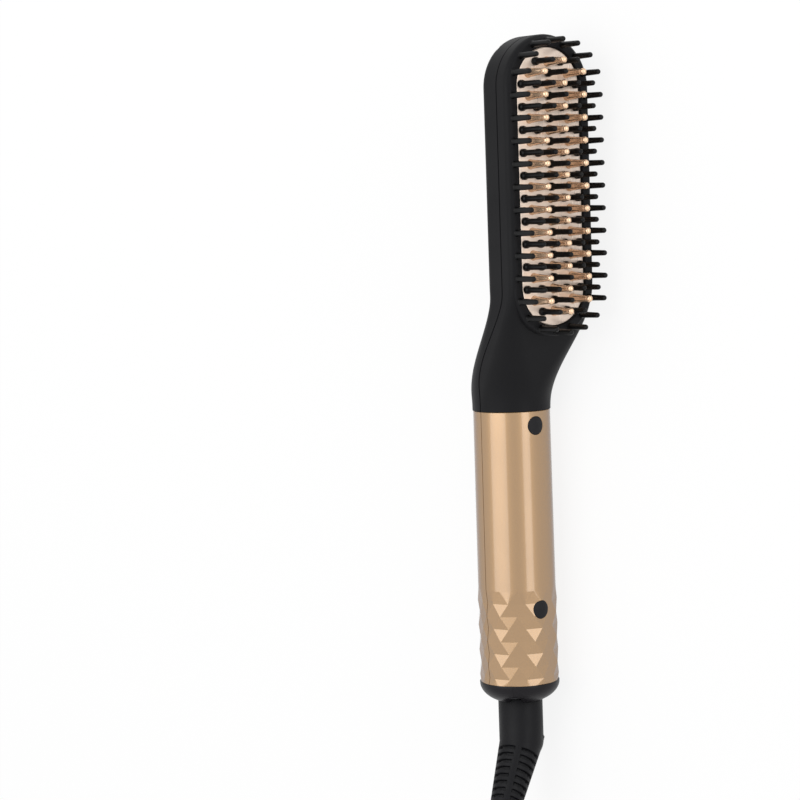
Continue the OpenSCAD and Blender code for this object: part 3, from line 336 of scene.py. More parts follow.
def prism(name, outline, low, high, edge=0.0, matrix=UPRIGHT, flare=0.0):
    """A flat outline of (z, y) pairs raised along x from low to high, its top edge rounded by edge
    or, for a cutter, flared by flare."""
    outline = np.array(outline, float)
    after, before = np.roll(outline, -1, 0), np.roll(outline, 1, 0)
    way = after - before
    out = np.stack([way[:, 1], -way[:, 0]], 1) / np.linalg.norm(way, axis=1)[:, None]
    area = np.sum(outline[:, 0] * after[:, 1] - after[:, 0] * outline[:, 1])
    out = out if area > 0 else -out
    rings = [(low, 0.0), (high, 0.0)]
    if edge:
        turns = np.linspace(0, pi / 2, 4)
        rings[1:] = [(high - edge + edge * sin(a), -edge * (1 - cos(a))) for a in turns]
    elif flare:
        rings[1:] = [(high - flare, 0.0), (high, flare)]
    points = [(x, *(spot + away * grow)[::-1]) for x, grow in rings for spot, away in zip(outline, out)]
    return tidy(piece(name, points, tube(len(rings), len(outline)), matrix))


def stadium(width, low, high, steps=32):
    """An outline of (z, y) pairs with round ends, width across, from low to high."""
    r = width / 2
    return arc((high - r, 0), r, -90, 90, steps) + arc((low + r, 0), r, 90, 270, steps)


# %% [markdown]
# ## Materials
# Almost everything here is a moulded plastic, so most recipes differ in three things: colour,
# roughness, and how coarse the skin is. One function builds them: it mixes two near colours with
# noise of a real size, varies the roughness over a larger size, as hands leave it, and adds fine
# bump. Grain under 0.3 mm would vanish at this distance, so most of it is 0.35 mm or more.

# %% The recipe for moulded, sprayed and drawn surfaces
def surface(name, tone, other, grain, roughness, bump=0.0, spread=0.04, patch=9.0, stretch=(1, 1, 1),
            **shader):
    """A material whose colour wanders between tone and other with grain in mm, and whose roughness
    wanders by spread over patch mm. bump is the grain's height in mm."""
    made = bpy.data.materials.new(name)
    made.use_nodes = True
    tree = made.node_tree
    bsdf = tree.nodes["Principled BSDF"]
    place = node(tree, "TexCoord").outputs["Object"]
    place = node(tree, "Mapping", {"Vector": place, "Scale": stretch}).outputs[0]
    fine, broad = (node(tree, "TexNoise", {"Vector": place, "Scale": 1 / (size * MM), "Detail": detail})
                   .outputs[0] for size, detail in ((grain, 3.0), (patch, 2.0)))
    colour = node(tree, "Mix", {0: fine, 6: linear(tone), 7: linear(other)}, data_type="RGBA").outputs[2]
    tree.links.new(colour, bsdf.inputs["Base Color"])
    rough = node(tree, "MapRange", {"Value": broad, "From Min": 0.3, "From Max": 0.7,
                                    "To Min": roughness - spread, "To Max": roughness + spread})
    tree.links.new(rough.outputs[0], bsdf.inputs["Roughness"])
    if bump:
        relief = node(tree, "Bump", {"Height": fine, "Distance": bump * MM, "Strength": 0.6})
        tree.links.new(relief.outputs[0], bsdf.inputs["Normal"])
    for socket, value in shader.items():
        bsdf.inputs[socket.replace("_", " ")].default_value = value
    return made


# %% [markdown]
# ### The outside
# The head is ABS with a soft-touch lacquer, nearly matt. The handle is ABS sprayed with
# champagne-gold metallic lacquer under a clear coat, so it acts as a satin metal with a narrow white
# gloss on top. The plate is aluminium with a pale rose-gold finish, and its teeth are a yellower gold.
# Bristles are nylon, the lead is PVC, the boot a softer rubber.

# %% Finishes that show
soft_touch = surface("abs_soft_touch_black", "#121214", "#161618", 0.45, 0.5, 0.012, 0.05, 14, IOR=1.22)
champagne = surface("abs_sprayed_champagne_gold", "#a07e56", "#a8865e", 0.35, 0.38, 0.004, 0.03, 18,
                    Metallic=0.9, Coat_Weight=1.0, Coat_IOR=1.75, Coat_Roughness=0.12,
                    Specular_Tint=(0.15, 0.12, 0.1, 1))
rose_plate = surface("aluminium_rose_gold", "#efdac9", "#f4e3d4", 0.6, 0.3, 0.004, 0.04, 11,
                     stretch=(1, 0.08, 1), Metallic=0.45)
copper_tooth = surface("aluminium_pale_gold", "#f0c9a6", "#f6d4b3", 0.5, 0.24, 0.002, 0.03, 5,
                       Metallic=0.75)
nylon = surface("nylon_moulded_black", "#080809", "#0c0c0d", 0.5, 0.36, 0.006, 0.05, 4, IOR=1.28)
satin = surface("abs_moulded_satin_black", "#131114", "#171519", 0.5, 0.4, 0.006, 0.05, 9, IOR=1.28)
boot_tpe = surface("tpe_moulded_black", "#101012", "#151518", 0.6, 0.46, 0.012, 0.05, 7, IOR=1.24)
lead_pvc = surface("pvc_extruded_black", "#121214", "#19191b", 0.8, 0.42, 0.008, 0.05, 12, IOR=1.35)
gloss = surface("abs_polished_black", "#0b0b0c", "#101011", 0.6, 0.14, 0.0, 0.04, 5, IOR=1.5)
lens_dark = surface("acrylic_smoked", "#161012", "#1e1618", 1.2, 0.1, 0.0, 0.03, 3, IOR=1.49)
plug_rubber = surface("rubber_moulded_black", "#151517", "#1b1b1e", 0.5, 0.55, 0.012, 0.05, 3, IOR=1.28)
ink = surface("pad_print_black", "#17130f", "#211b16", 0.3, 0.5, 0.0, 0.04, 3)
plated = surface("brass_nickel_plated", "#c9c6bd", "#d6d3ca", 1.5, 0.2, 0.001, 0.05, 6, Metallic=1.0)
strap_nylon = surface("nylon_woven_strap", "#2a2a2e", "#3c3c41", 0.5, 0.85, 0.08, 0.05, 6,
                      Sheen_Weight=0.3)

# %% [markdown]
# ### The inside
# None of these show while the shells are closed, yet each has its own finish, since another model may
# open them: fired ceramic, rolled brass, amber polyimide film, spring steel, pressed mica and so on.
# They come from one list, because only the numbers differ.

# %% Finishes of the inner pieces
METAL = {"Metallic": 1.0}
ZINC = "steel_zinc_plated"
INNER = {
    "ptc_stones": ("ceramic_fired", "#82786f", "#958b82", 0.8, 0.7, 0.03),
    "electrode_strips": ("brass_rolled", "#d2a952", "#dcb765", 1.0, 0.3, 0.004, METAL),
    "slip_rings": ("brass_turned", "#d2a952", "#dfbb6a", 0.5, 0.22, 0.002, METAL),
    "heater_film": ("polyimide_film", "#b96f16", "#cc861f", 3.0, 0.25, 0.01, {"Coat_Weight": 0.4}),
    "heater_clamp": ("spring_steel", "#a8a8ab", "#b8b8bb", 0.7, 0.34, 0.003, METAL),
    "insulation_board": ("mica_pressed", "#c3b795", "#d8ceb4", 1.6, 0.55, 0.03),
    "clamp_screws": (ZINC, "#b0b2b6", "#c2c4c8", 0.6, 0.28, 0.002, METAL),
    "board_screws": ZINC,
    "handle_screws": ZINC,
    "thermal_fuse": ("glass_fibre_sleeve", "#ddd6c2", "#ece6d6", 0.4, 0.8, 0.05),
    "thermistor": ("glass_bead_green", "#2f5f42", "#3f7554", 1.5, 0.15, 0.0),
    "heater_leads": ("silicone_wire_red", "#a3302a", "#b53c33", 1.2, 0.5, 0.01),
    "supply_leads": ("silicone_wire_blue", "#3f65a6", "#4e76b8", 1.2, 0.5, 0.01),
    "switch_wiper": ("acetal_white", "#dedacf", "#e8e4da", 1.0, 0.4, 0.004),
    "slide_switch": ("phenolic_moulded", "#36363b", "#414147", 0.6, 0.5, 0.01),
    "control_board": ("glass_fibre_laminate", "#2a6039", "#35714a", 0.7, 0.45, 0.01),
    "lamp": ("epoxy_red", "#c94426", "#d95a38", 1.5, 0.12, 0.0, {"Coat_Weight": 0.5}),
    "lamp_resistor": ("resistor_lacquer", "#b19a74", "#c2ad88", 0.9, 0.4, 0.01),
    "terminal_block": ("nylon_natural", "#d0ccbf", "#dddacf", 0.9, 0.5, 0.01),
    "swivel_washer": ("acetal_turned", "#e0dbcd", "#ebe7db", 0.5, 0.35, 0.006),
    "brush_contacts": ("bronze_sprung", "#bd7c38", "#cf9048", 0.8, 0.28, 0.003, METAL),
    "swivel_core": ("nylon_glass_filled", "#26262a", "#303034", 0.5, 0.5, 0.02),
}
for name, recipe in INNER.items():
    if recipe == ZINC:
        paint = bpy.data.materials[ZINC]
    else:
        paint = surface(*recipe[:6], **(recipe[6] if len(recipe) > 6 else {}))
    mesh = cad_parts[name].data
    if len(mesh.materials) == 0:
        mesh.materials.append(paint)
    for index in range(len(mesh.materials)):
        mesh.materials[index] = paint
print(len(INNER), "inner nodes finished")

# %% [markdown]
# ## The shape of the black body
# The body is drawn as the CAD model draws it: at each height z there is a half width, a rear and a
# front, a parting line and two edge roundings, and every one of them eases from the round neck
# to the flat head. The sections are then spaced evenly along their outline, at a third of a
# millimetre, so that light runs over them without a break.

# %% Sections of the body
NECK_LEN, HEAD_FRONT, HEAD_SEAM, HEAD_WALL = 46.0, 27.6, 21.2, 2.0
NECK_TOP = NECK_LEN + 3
GROOVE_W, GROOVE_DEPTH = 0.28, 0.55
FRONT_ROUND, REAR_CROWN, REAR_CHANNEL, CHANNEL_W = 2.4, 1.1, 0.35, 5
FOOT_R = HANDLE_R + 0.2
TIP_Z = HEAD_LEN - HEAD_A
SAMPLES = 160


def half_w(z):
    return mix(FOOT_R, HEAD_A, smooth((z - 4) / (NECK_LEN - 12)))


def edge_drop(r, d):
    return np.where(d >= r, 0.0, r - np.sqrt(np.maximum(0, r * r - (r - np.minimum(d, r)) ** 2)))


def rear_skin(z, d, a, wall):
    rear = mix(-FOOT_R, HEAD_REAR, smooth((z - 5) / (NECK_LEN - 8)))
    r = max(0.5, mix(FOOT_R, REAR_ROUND, float(smooth(z / NECK_LEN))) - wall)
    channel = REAR_CHANNEL * np.sin(np.pi * np.clip((d - REAR_ROUND + 1) / CHANNEL_W, 0, 1)) ** 2
    crown = REAR_CROWN * smooth((d - REAR_ROUND) / (a - REAR_ROUND))
    return rear + wall + edge_drop(r, d) + smooth((z - 26) / 22) * (channel - crown)


def front_skin(z, d, wall):
    front = mix(FOOT_R, HEAD_FRONT, smooth(z / (NECK_LEN + 2)))
    r = max(0.3, mix(FOOT_R, FRONT_ROUND, float(smooth(z / NECK_LEN))) - wall)
    return front - wall - edge_drop(r, d)


def half_section(z, turned, wall, rear, count):
    """Half an outline from the parting line to the middle, as x and w evenly spaced. turned is
    the angle over the round tip, or zero below it."""
    a = half_w(z) - wall
    rise = a * sin(radians(turned))
    d = (a - rise) * np.linspace(0, 1, SAMPLES) ** 2
    w = np.sqrt(np.maximum(0, (a - d) ** 2 - rise**2))
    x = rear_skin(z, d, a, wall) if rear else front_skin(z, d, wall)
    seam = HEAD_SEAM * smooth((z - 8) / (NECK_LEN - 10))
    x, w = np.concatenate([[float(seam)], x]), np.concatenate([[w[0]], w])
    run = np.concatenate([[0], np.cumsum(np.hypot(np.diff(x), np.diff(w)))])
    at = np.linspace(0, run[-1], count)
    if wall == 0:
        rest = np.linspace(3 * GROOVE_W, run[-1], count - 3)
        at = np.concatenate([[0, GROOVE_W, 2 * GROOVE_W], rest])
    return np.interp(at, run, x), np.interp(at, run, w)


def levels_up(stops, counts):
    """(height, turn) pairs between the stops; the last count is for the turn over the tip."""
    levels = [(stops[0], 0)]
    for low, high, count in zip(stops, stops[1:], counts):
        levels += [(z, 0) for z in np.linspace(low, high, count)[1:]]
    return levels + [(TIP_Z, t) for t in np.linspace(0, 90, counts[-1])[1:]]


def shell_grid(levels, wall, rear, count):
    """Rows of points over a whole shell skin, from the +w side round to the -w side."""
    rows = []
    for z, turned in levels:
        x, w = half_section(z, turned, wall, rear, count)
        height = z + (half_w(z) - wall) * sin(radians(turned))
        rows.append([(x[i], w[i], height) for i in range(count)]
                    + [(x[i], -w[i], height) for i in range(count - 2, -1, -1)])
    return np.array(rows)


def close_shell(name, outer, inner, levels):
    """Draws the outer skin in along its two edges, so that two shells meet in a fine groove, and
    joins it to the inner skin by rims along the parting line and at the neck."""
    for j, (_, turned) in enumerate(levels):
        inward, down = polar(GROOVE_DEPTH, turned)
        outer[j, (0, -1), 1] -= (inward, -inward)
        outer[j, (0, -1), 2] -= down
    m, n, k = len(outer), outer.shape[1], inner.shape[1]
    points = np.concatenate([outer.reshape(-1, 3), inner.reshape(-1, 3)])
    base = m * n
    faces = strips(m, n) + [face[::-1] for face in strips(m, k, start=base)]
    for j in range(m - 1):
        a, b = j * n, base + j * k
        faces += [(a, a + n, b + k, b), (a + n - 1, b + k - 1, b + 2 * k - 1, a + 2 * n - 1)]
    faces.append(tuple(range(n - 1, -1, -1)) + tuple(range(base, base + k)))
    return tidy(piece(name, points, faces), 2e-6)


# %% [markdown]
# ### The rear shell and its thumb grip
# The grip is two rows of short slots and five flutes that run over the tip. A boolean cut would
# leave hard rims, and a real mould has soft ones, so the skin itself is pushed in along its own
# normal, by a depth that eases from the slot's rim to its floor.

# %% Depth of the grip
GRIP_STEP, SLOT_LEN, SLOT_PITCH, GRIP_R, GRIP_DEPTH, GRIP_TOP = 5.9, 6.1, 8, 1.12, 0.62, 120.4
GRIP_SOFT, FLUTE_GAP, FLUTE_FADE = 0.5, 2.2, 2.6


def grip_depth(p):
    x, w, z = p[..., 0], p[..., 1], p[..., 2]
    deepest = np.zeros(x.shape)
    fade = smooth((HEAD_REAR + REAR_ROUND - 0.3 - x) / FLUTE_FADE)
    for column in range(-2, 3):
        middle = column * GRIP_STEP
        top = GRIP_TOP - 0.18 * abs(middle)
        spans = [(top - SLOT_PITCH * k - SLOT_LEN + GRIP_R, top - SLOT_PITCH * k - GRIP_R, 1.0)
                 for k in (0, 1)]
        for low, high, share in spans + [(top + FLUTE_GAP + GRIP_R, np.inf, fade)]:
            away = np.hypot(w - middle, np.maximum(0, np.maximum(z - high, low - z)))
            deepest = np.maximum(deepest, smooth((GRIP_R - away) / GRIP_SOFT) * share)
    return GRIP_DEPTH * deepest


# %% Rear shell
levels = levels_up((0, NECK_TOP, 103, TIP_Z), (40, 22, 44, 111))
outer = shell_grid(levels, 0, True, 96)
normal = np.cross(np.gradient(outer, axis=0), np.gradient(outer, axis=1))
length = np.linalg.norm(normal, axis=2, keepdims=True)
normal = np.where(length > 1e-9, normal / np.maximum(length, 1e-9), 0.0)
core = np.zeros_like(outer)
core[..., 0], core[..., 2] = HEAD_SEAM, np.minimum(outer[..., 2], TIP_Z)
normal *= np.sign(np.sum(normal * (outer - core), axis=2, keepdims=True) + 1e-12)
outer = outer - normal * grip_depth(outer)[..., None]
rear_shell = close_shell("head_rear_skin", outer, shell_grid(levels, HEAD_WALL, True, 14), levels)
crease(rear_shell, 40)
dress(rear_shell, soft_touch, "handset", "soft_black_shell", "head_rear_shell")

# %% [markdown]
# ### The front shell
# The plate lies in a stadium-shaped window, inside a flat ring that ends in a half round where the
# neck slopes away. The ring is a prism with a rounded edge, joined to the sloping body; a seat is cut
# into it from behind, and the window by a prism with a flared rim. Exact booleans do all three,
# since the parts are closed solids.

# %% Front shell
PLATE_W, PLATE_LOW, PLATE_HIGH, PLATE_T, SEAT_GAP = 28.4, 31.4, 130.6, 2.6, 0.1
ARC_LOW, ARC_HIGH = PLATE_LOW + PLATE_W / 2, PLATE_HIGH - PLATE_W / 2
RING_R = EDGE_W + EDGE_D / 2 + 0.35
levels = levels_up((0, NECK_TOP, TIP_Z), (44, 16, 46))
front_shell = close_shell("head_front_skin", shell_grid(levels, 0, False, 56),
                          shell_grid(levels, HEAD_WALL, False, 20), levels)


def plate_prism(name, grow, low, high, steps=48, **shape):
    """A prism round the plate's outline, grow mm outside it, from x = low to x = high."""
    outline = stadium(PLATE_W + 2 * grow, PLATE_LOW - grow, PLATE_HIGH + grow, steps)
    return prism(name, outline, low, high, **shape)


ring_grow = RING_R - PLATE_W / 2
pedestal = plate_prism("pedestal", ring_grow, HEAD_SEAM + 0.4, HEAD_FRONT, edge=0.8)
seat = plate_prism("seat", ring_grow - HEAD_WALL, HEAD_SEAM - 6, HEAD_FRONT - HEAD_WALL)
window = plate_prism("window", SEAT_GAP, HEAD_SEAM - 6, HEAD_FRONT + 0.02, flare=0.35)
carve(front_shell, pedestal, how="UNION")
carve(front_shell, seat, window)
crease(front_shell, 35)
dress(front_shell, soft_touch, "handset", "soft_black_shell", "head_front_shell")

# %% [markdown]
# ### Bristles, teeth and plate
# A bristle is a turned shape, so it is drawn once as an outline and repeated at its places. The black
# ones spring from a small collar and end in a dome; the gold teeth narrow to a waist under
# a ball, which keeps the hot metal off the skin.

# %% Where they stand
ROWS, ROW_PITCH, FIRST_ROW, ROUND_END = 11, 8.07, 40.7, 6
row_z = [FIRST_ROW + k * ROW_PITCH for k in range(ROWS)]
half_z = [FIRST_ROW + (k - 0.5) * ROW_PITCH for k in range(ROWS + 1)]
gold_spots = [(s * 8.7, z) for z in row_z for s in (-1, 1)] + [(0, z) for z in half_z]
inner_spots = ([(0, z) for z in row_z] + [(s * 5.6, z) for z in half_z for s in (-1, 1)]
               + [(s * 12.2, z) for z in half_z[1:-1] for s in (-1, 1)])
edge_spots = [(s * sqrt(EDGE_W**2 - max(0, z - ARC_HIGH, ARC_LOW - z) ** 2), z)
              for z in row_z for s in (-1, 1)]
last_turn = asin((row_z[-1] - ARC_HIGH) / EDGE_W)
for k in range(1, ROUND_END):
    t = mix(last_turn, pi - last_turn, k / ROUND_END)
    w, rise = EDGE_W * cos(t), EDGE_W * sin(t)
    edge_spots += [(w, ARC_HIGH + rise), (w, ARC_LOW - rise)]
print(len(edge_spots), "edge bristles,", len(gold_spots), "gold teeth,", len(inner_spots),
      "inner bristles")


def pins(name, outline, spots, count=20):
    """The same turned pin at many places. outline is (x, radius) pairs from foot to tip."""
    points, faces = [], []
    n = len(outline)
    for w, z in spots:
        base = len(points)
        for x, r in outline:
            points += [(x, w + c, z + s) for c, s in round_points(r, count)]
        points += [(outline[0][0], w, z), (outline[-1][0], w, z)]
        faces += strips(n, count, closed=True, start=base)
        top, foot = base + (n - 1) * count, base + n * count
        faces += [(foot, base + (k + 1) % count, base + k) for k in range(count)]
        faces += [(foot + 1, top + k, top + (k + 1) % count) for k in range(count)]
    return crease(tidy(piece(name, points, faces)), 50)


def half_ball(tip, r, angles):
    """The last part of a pin's outline: (x, radius) pairs on a ball of radius r that ends at tip."""
    return [(tip - r + rise, away) for away, rise in (polar(r, a) for a in angles)]


def bristle(face, foot, tip, r):
    """A bristle's outline: its foot in (x, radius) pairs from a face, and its dome."""
    outline = [(face + x, radius) for x, radius in foot]
    return outline + half_ball(tip, r, np.linspace(0, 86, 6)) + [(tip, r * 0.03)]


# %% The pins
edge_foot = ((-2, 1.15), (-0.05, 1.15), (0, 1.34), (0.16, 1.3), (0.45, 1.17), (0.9, 1.13))
edge_pins = pins("edge_pins", bristle(HEAD_FRONT, edge_foot, PLATE_FACE + EDGE_H, 0.97), edge_spots)
dress(edge_pins, nylon, "handset", "black_nylon", "edge_bristles")

gold_tip = PLATE_FACE + 10.6
gold_foot = ((-1.3, 1.0), (-0.05, 1.0), (0, 1.85), (0.2, 1.74), (0.5, 1.66), (3.5, 1.42), (7.2, 1.12),
             (8.1, 1.03))
gold_outline = [(PLATE_FACE + x, r) for x, r in gold_foot]
gold_outline += half_ball(gold_tip, 1.25, (-38, -26, -12, 4, 20, 36, 52, 66, 78, 86))
gold_teeth = pins("gold_teeth", gold_outline, gold_spots, 24)
dress(gold_teeth, copper_tooth, "handset", "tooth_metal", "heated_teeth")

inner_foot = ((-1.3, 0.9), (-0.05, 0.9), (0, 1.5), (1.1, 1.47), (1.45, 1.36), (1.62, 1.15), (1.9, 1.06))
inner_pins = pins("inner_pins", bristle(PLATE_FACE, inner_foot, PLATE_FACE + 11.3, 0.95), inner_spots)
dress(inner_pins, nylon, "handset", "black_nylon", "inner_bristles")

# %% The plate
plate = plate_prism("plate", 0, PLATE_FACE - PLATE_T, PLATE_FACE, 64, edge=0.55)
rim = plate_prism("plate_rim", 0.9, PLATE_FACE - PLATE_T, HEAD_FRONT - HEAD_WALL - SEAT_GAP, 64)
carve(plate, rim, how="UNION")
crease(plate, 30)
plate.name = "hot_plate"
dress(plate, rose_plate, "handset", "plate_metal", "heating_plate")

# %% [markdown]
# ## The gold handle
# Two half shells meet in a parting line that runs down both sides. The upper part is a plain cone. The
# lower part is a band of flat triangles: rows of corners that stand out and in by a quarter of a
# millimetre. Those faces stay flat shaded, and the cone is smooth. One open sleeve is made, cut
# in half, given a wall, and then carved.

# %% The sleeve of the handle
FACETS, FACET_ROWS, RELIEF, FACET_LEN, BRIM, CONE_ROWS = 14, 7, 0.25, 35.0, 0.5, 6
SMOOTH_LEN = HANDLE_LEN - FACET_LEN
HANDLE_IN = HANDLE_R - 1.8
STEP_A = 2 * pi / FACETS
FINE = 12
FACET_H = FACET_LEN / (FACET_ROWS + 0.5)


def relief(k):
    """How far corner k stands out. The pattern is the same on both half shells, and flat corners
    lie on the parting line."""
    q, h = k - FACETS if k > FACETS / 2 else k, FACETS / 2
    q = q - h if q > h / 2 else q + h if q < -h / 2 else q
    if abs(abs(q) - h / 2) < 0.1:
        return 0
    return RELIEF if q // 1 % 2 == 0 else -RELIEF


def round_at(angle, r, z):
    return (-r * cos(angle), r * sin(angle), z)


def handle_r(z):
    """The radius of the handle's cone at height z."""
    return mix(HANDLE_R, HANDLE_LOW_R, -z / SMOOTH_LEN)


def sleeve(name):
    """The outer skin of the whole handle, open at both ends, with its rounded upper edge."""
    n = FACETS * FINE
    profile = [(HANDLE_R - 1.0, 0.0)]
    profile += [(HANDLE_R - BRIM + rise, -BRIM + away) for away, rise in
                (polar(BRIM, a) for a in (0, 22, 45, 68, 90))]
    profile += [(mix(HANDLE_R, HANDLE_LOW_R, k / CONE_ROWS), -mix(BRIM, SMOOTH_LEN, k / CONE_ROWS))
                for k in range(1, CONE_ROWS + 1)]

    def fine_ring(r, z):
        return [round_at((j / FINE + 0.5) * STEP_A, r, z) for j in range(n)]

    def fan(corners, edge):
        """Triangles between a row of corners and a fine ring."""
        out = []
        for k in range(FACETS):
            out.append((corners + k, corners + (k + 1) % FACETS, edge + k * FINE))
            steps = [((k - 1) * FINE + j) % n for j in range(FINE)]
            out += [(corners + k, edge + (a + 1) % n, edge + a) for a in steps]
        return out

    points = [spot for r, z in profile for spot in fine_ring(r, z)]
    faces = strips(len(profile), n, closed=True)
    smooth_count, top, first = len(faces), len(points) - n, len(points)
    for i in range(1, FACET_ROWS + 1):
        for k in range(FACETS):
            q = k + (0 if i % 2 == 1 else 0.5)
            points.append(round_at(q * STEP_A, HANDLE_LOW_R + relief(q), -SMOOTH_LEN - i * FACET_H))
    low = len(points)
    points += fine_ring(HANDLE_LOW_R, -HANDLE_LEN)
    faces += fan(first, top)
    for i in range(FACET_ROWS - 1):
        for k in range(FACETS):
            a, b, after = first + i * FACETS, first + (i + 1) * FACETS, (k + 1) % FACETS
            if i % 2 == 0:
                faces += [(b + k, a + after, a + k), (b + k, b + after, a + after)]
            else:
                faces += [(b + after, a + k, b + k), (b + after, a + after, a + k)]
    faces += fan(low - FACETS, low)
    made = piece(name, points, faces, is_smooth=False)
    made.data.polygons.foreach_set("use_smooth", [i < smooth_count for i in range(len(faces))])
    return made


SEAM_GAP, SEAM_BAND, SEAM_DEPTH, HANDLE_WALL = 0.05, 0.14, 0.35, 1.7


def half_sleeve(name, sign):
    """One half of a sleeve, sign * x being above zero, with a fine groove along the parting line."""
    target = sleeve(name)
    way = (UPRIGHT.to_3x3() @ Vector((sign, 0, 0))).normalized()
    axis = UPRIGHT @ Vector((0, 0, 0))
    work = bmesh.new()
    work.from_mesh(target.data)
    for gap, clear in ((SEAM_BAND, False), (SEAM_GAP, True)):
        bmesh.ops.bisect_plane(work, geom=work.verts[:] + work.edges[:] + work.faces[:], dist=1e-8,
                               plane_co=axis + way * gap * MM, plane_no=way, clear_inner=clear)
    for vertex in work.verts:
        if (vertex.co - axis).dot(way) < (SEAM_GAP + 0.01) * MM:
            spot = UPRIGHT.inverted() @ vertex.co
            spot.y *= 1 - SEAM_DEPTH / HANDLE_R
            vertex.co = UPRIGHT @ spot
    bmesh.ops.recalc_face_normals(work, faces=work.faces)
    outward = sum(face.normal.dot(face.calc_center_median() - axis) * (1 - abs(face.normal.y))
                  for face in work.faces)
    if outward < 0:
        bmesh.ops.reverse_faces(work, faces=work.faces)
    keep(work, target.data)
    wall = target.modifiers.new("wall", "SOLIDIFY")
    wall.thickness, wall.offset = HANDLE_WALL * MM, -1
    return settle(target)


# %% [markdown]
# ### Rear half: a flat for the switch, its pocket and the lamp's window
# The flat is a shallow prism cut into the round, so its outline comes out by itself. The pocket
# below it has a rim that catches the light, which a flared cutter gives.

# %% Rear half
SWITCH_Z, POCKET_LEN, POCKET_W, PANEL_W, PANEL_DEPTH = -36.0, 24.4, 8.4, 10.6, 1.05
KNOB_LEN, KNOB_RISE, TRAVEL = 19.0, 1.1, 5.0
LENS_Z, LENS_W, LENS_LEN = -13.2, 3.3, 5.3
SCREW_HIGH, SCREW_LOW, COVER_D = 5.4, HANDLE_LEN - 27.8, 6.9
PANEL_X = -(HANDLE_R + (HANDLE_LOW_R - HANDLE_R) / 2 - PANEL_DEPTH)
POCKET_FLOOR = PANEL_X + 1.7
HAIR = 0.004  # keeps the rim of one cutter clear of the face that another one leaves
POCKET_LOW, POCKET_HIGH = SWITCH_Z - POCKET_LEN / 2, SWITCH_Z + POCKET_LEN / 2
PANEL_LOW, PANEL_HIGH = POCKET_LOW - 1.1, -6.9
KNOB_Z = SWITCH_Z - TRAVEL / 2


def rear_prism(name, width, low, high, inner, outer, flare=0.0, edge=0.0):
    """A stadium prism on the rear side, from x = inner out to x = outer, both below zero."""
    made = prism(name, stadium(width, low, high, 24), -inner, -outer, edge, Matrix.Identity(4), flare)
    made.data.transform(UPRIGHT @ Matrix.Diagonal((-1, 1, 1, 1)))
    return tidy(made)


gold_rear = half_sleeve("gold_rear", -1)
tray = rear_prism("tray", POCKET_W + 2.6, POCKET_LOW - 1.3, POCKET_HIGH + 1.3, POCKET_FLOOR + 1.2, -13.0)
carve(gold_rear, tray, how="UNION")
carve(gold_rear,
      rear_prism("panel_cut", PANEL_W, PANEL_LOW, PANEL_HIGH, PANEL_X, -17.0),
      rear_prism("pocket_cut", POCKET_W, POCKET_LOW, POCKET_HIGH, POCKET_FLOOR, PANEL_X - HAIR,
                 flare=0.3),
      rear_prism("lens_cut", LENS_W + 0.2, LENS_Z - LENS_LEN / 2 - 0.1, LENS_Z + LENS_LEN / 2 + 0.1,
                 -HANDLE_IN + 3, PANEL_X + HAIR, flare=0.2),
      rear_prism("slot_cut", 3.6, KNOB_Z - 2.4, KNOB_Z + TRAVEL + 2.4, -8.0, -12.5))
crease(gold_rear, 25)
dress(gold_rear, champagne, "handset", "gold_shell", "handle_rear_shell")

# %% Front half, with its two screw holes
gold_front = half_sleeve("gold_front", 1)
hole_outlines = (stadium(COVER_D, z - COVER_D / 2, z + COVER_D / 2) for z in (-SCREW_HIGH, -SCREW_LOW))
carve(gold_front, *(prism("hole", outline, HANDLE_R - 2.4, HANDLE_R + 3) for outline in hole_outlines))
crease(gold_front, 25)
dress(gold_front, champagne, "handset", "gold_shell", "handle_front_shell")

# %% [markdown]
# ### Screw plugs, lens and switch knob
# The rubber plugs are pressed flush and swell a little in the middle. The knob is one polished black
# moulding: a rounded bar with rows of four-sided studs, staggered, so that each row sits in the
# gaps of the next. The studs are pyramids whose corners are the grid of the rows.

# %% Screw plugs
COVER_STEPS, COVER_R, COVER_RISE = 48, COVER_D / 2 - 0.06, 0.28
cover_rings = [(COVER_R, -2.3), (COVER_R, -0.12), (COVER_R - 0.12, 0.0)]
cover_rings += [(COVER_R * f, COVER_RISE * (1 - f * f)) for f in (0.85, 0.7, 0.5, 0.3, 0.1)]
cover_points, cover_faces = [], []
for z in (-SCREW_HIGH, -SCREW_LOW):
    cover_faces += tube(len(cover_rings), COVER_STEPS, len(cover_points))
    for rho, rise in cover_rings:
        for w, up_z in round_points(rho, COVER_STEPS):
            here = min(handle_r(z + up_z), HANDLE_LOW_R + 0.02)
            on_handle = sqrt(here**2 - w * w) if rise > -1 else HANDLE_R
            cover_points.append((on_handle + rise, w, z + up_z))
covers = crease(tidy(piece("plug_covers", cover_points, cover_faces)), 45)
dress(covers, plug_rubber, "handset", "plug_rubber", "screw_plugs")

# %% Lamp lens
lens = rear_prism("lens", LENS_W, LENS_Z - LENS_LEN / 2, LENS_Z + LENS_LEN / 2, -HANDLE_IN + 0.7,
                  PANEL_X - 0.25, edge=0.6)
crease(lens, 50)
lens.name = "status_lens"
dress(lens, lens_dark, "handset", "dark_lens", "lamp_lens")

# %% Switch knob
STUD_H, STUD_ROWS, KNOB_EDGE = 0.9, 7, 0.09
STUD_PITCH = KNOB_LEN / STUD_ROWS
STUD_STEP = STUD_PITCH * 0.9
KNOB_TOP, KNOB_LOW = PANEL_X - KNOB_RISE + STUD_H, KNOB_Z - KNOB_LEN / 2


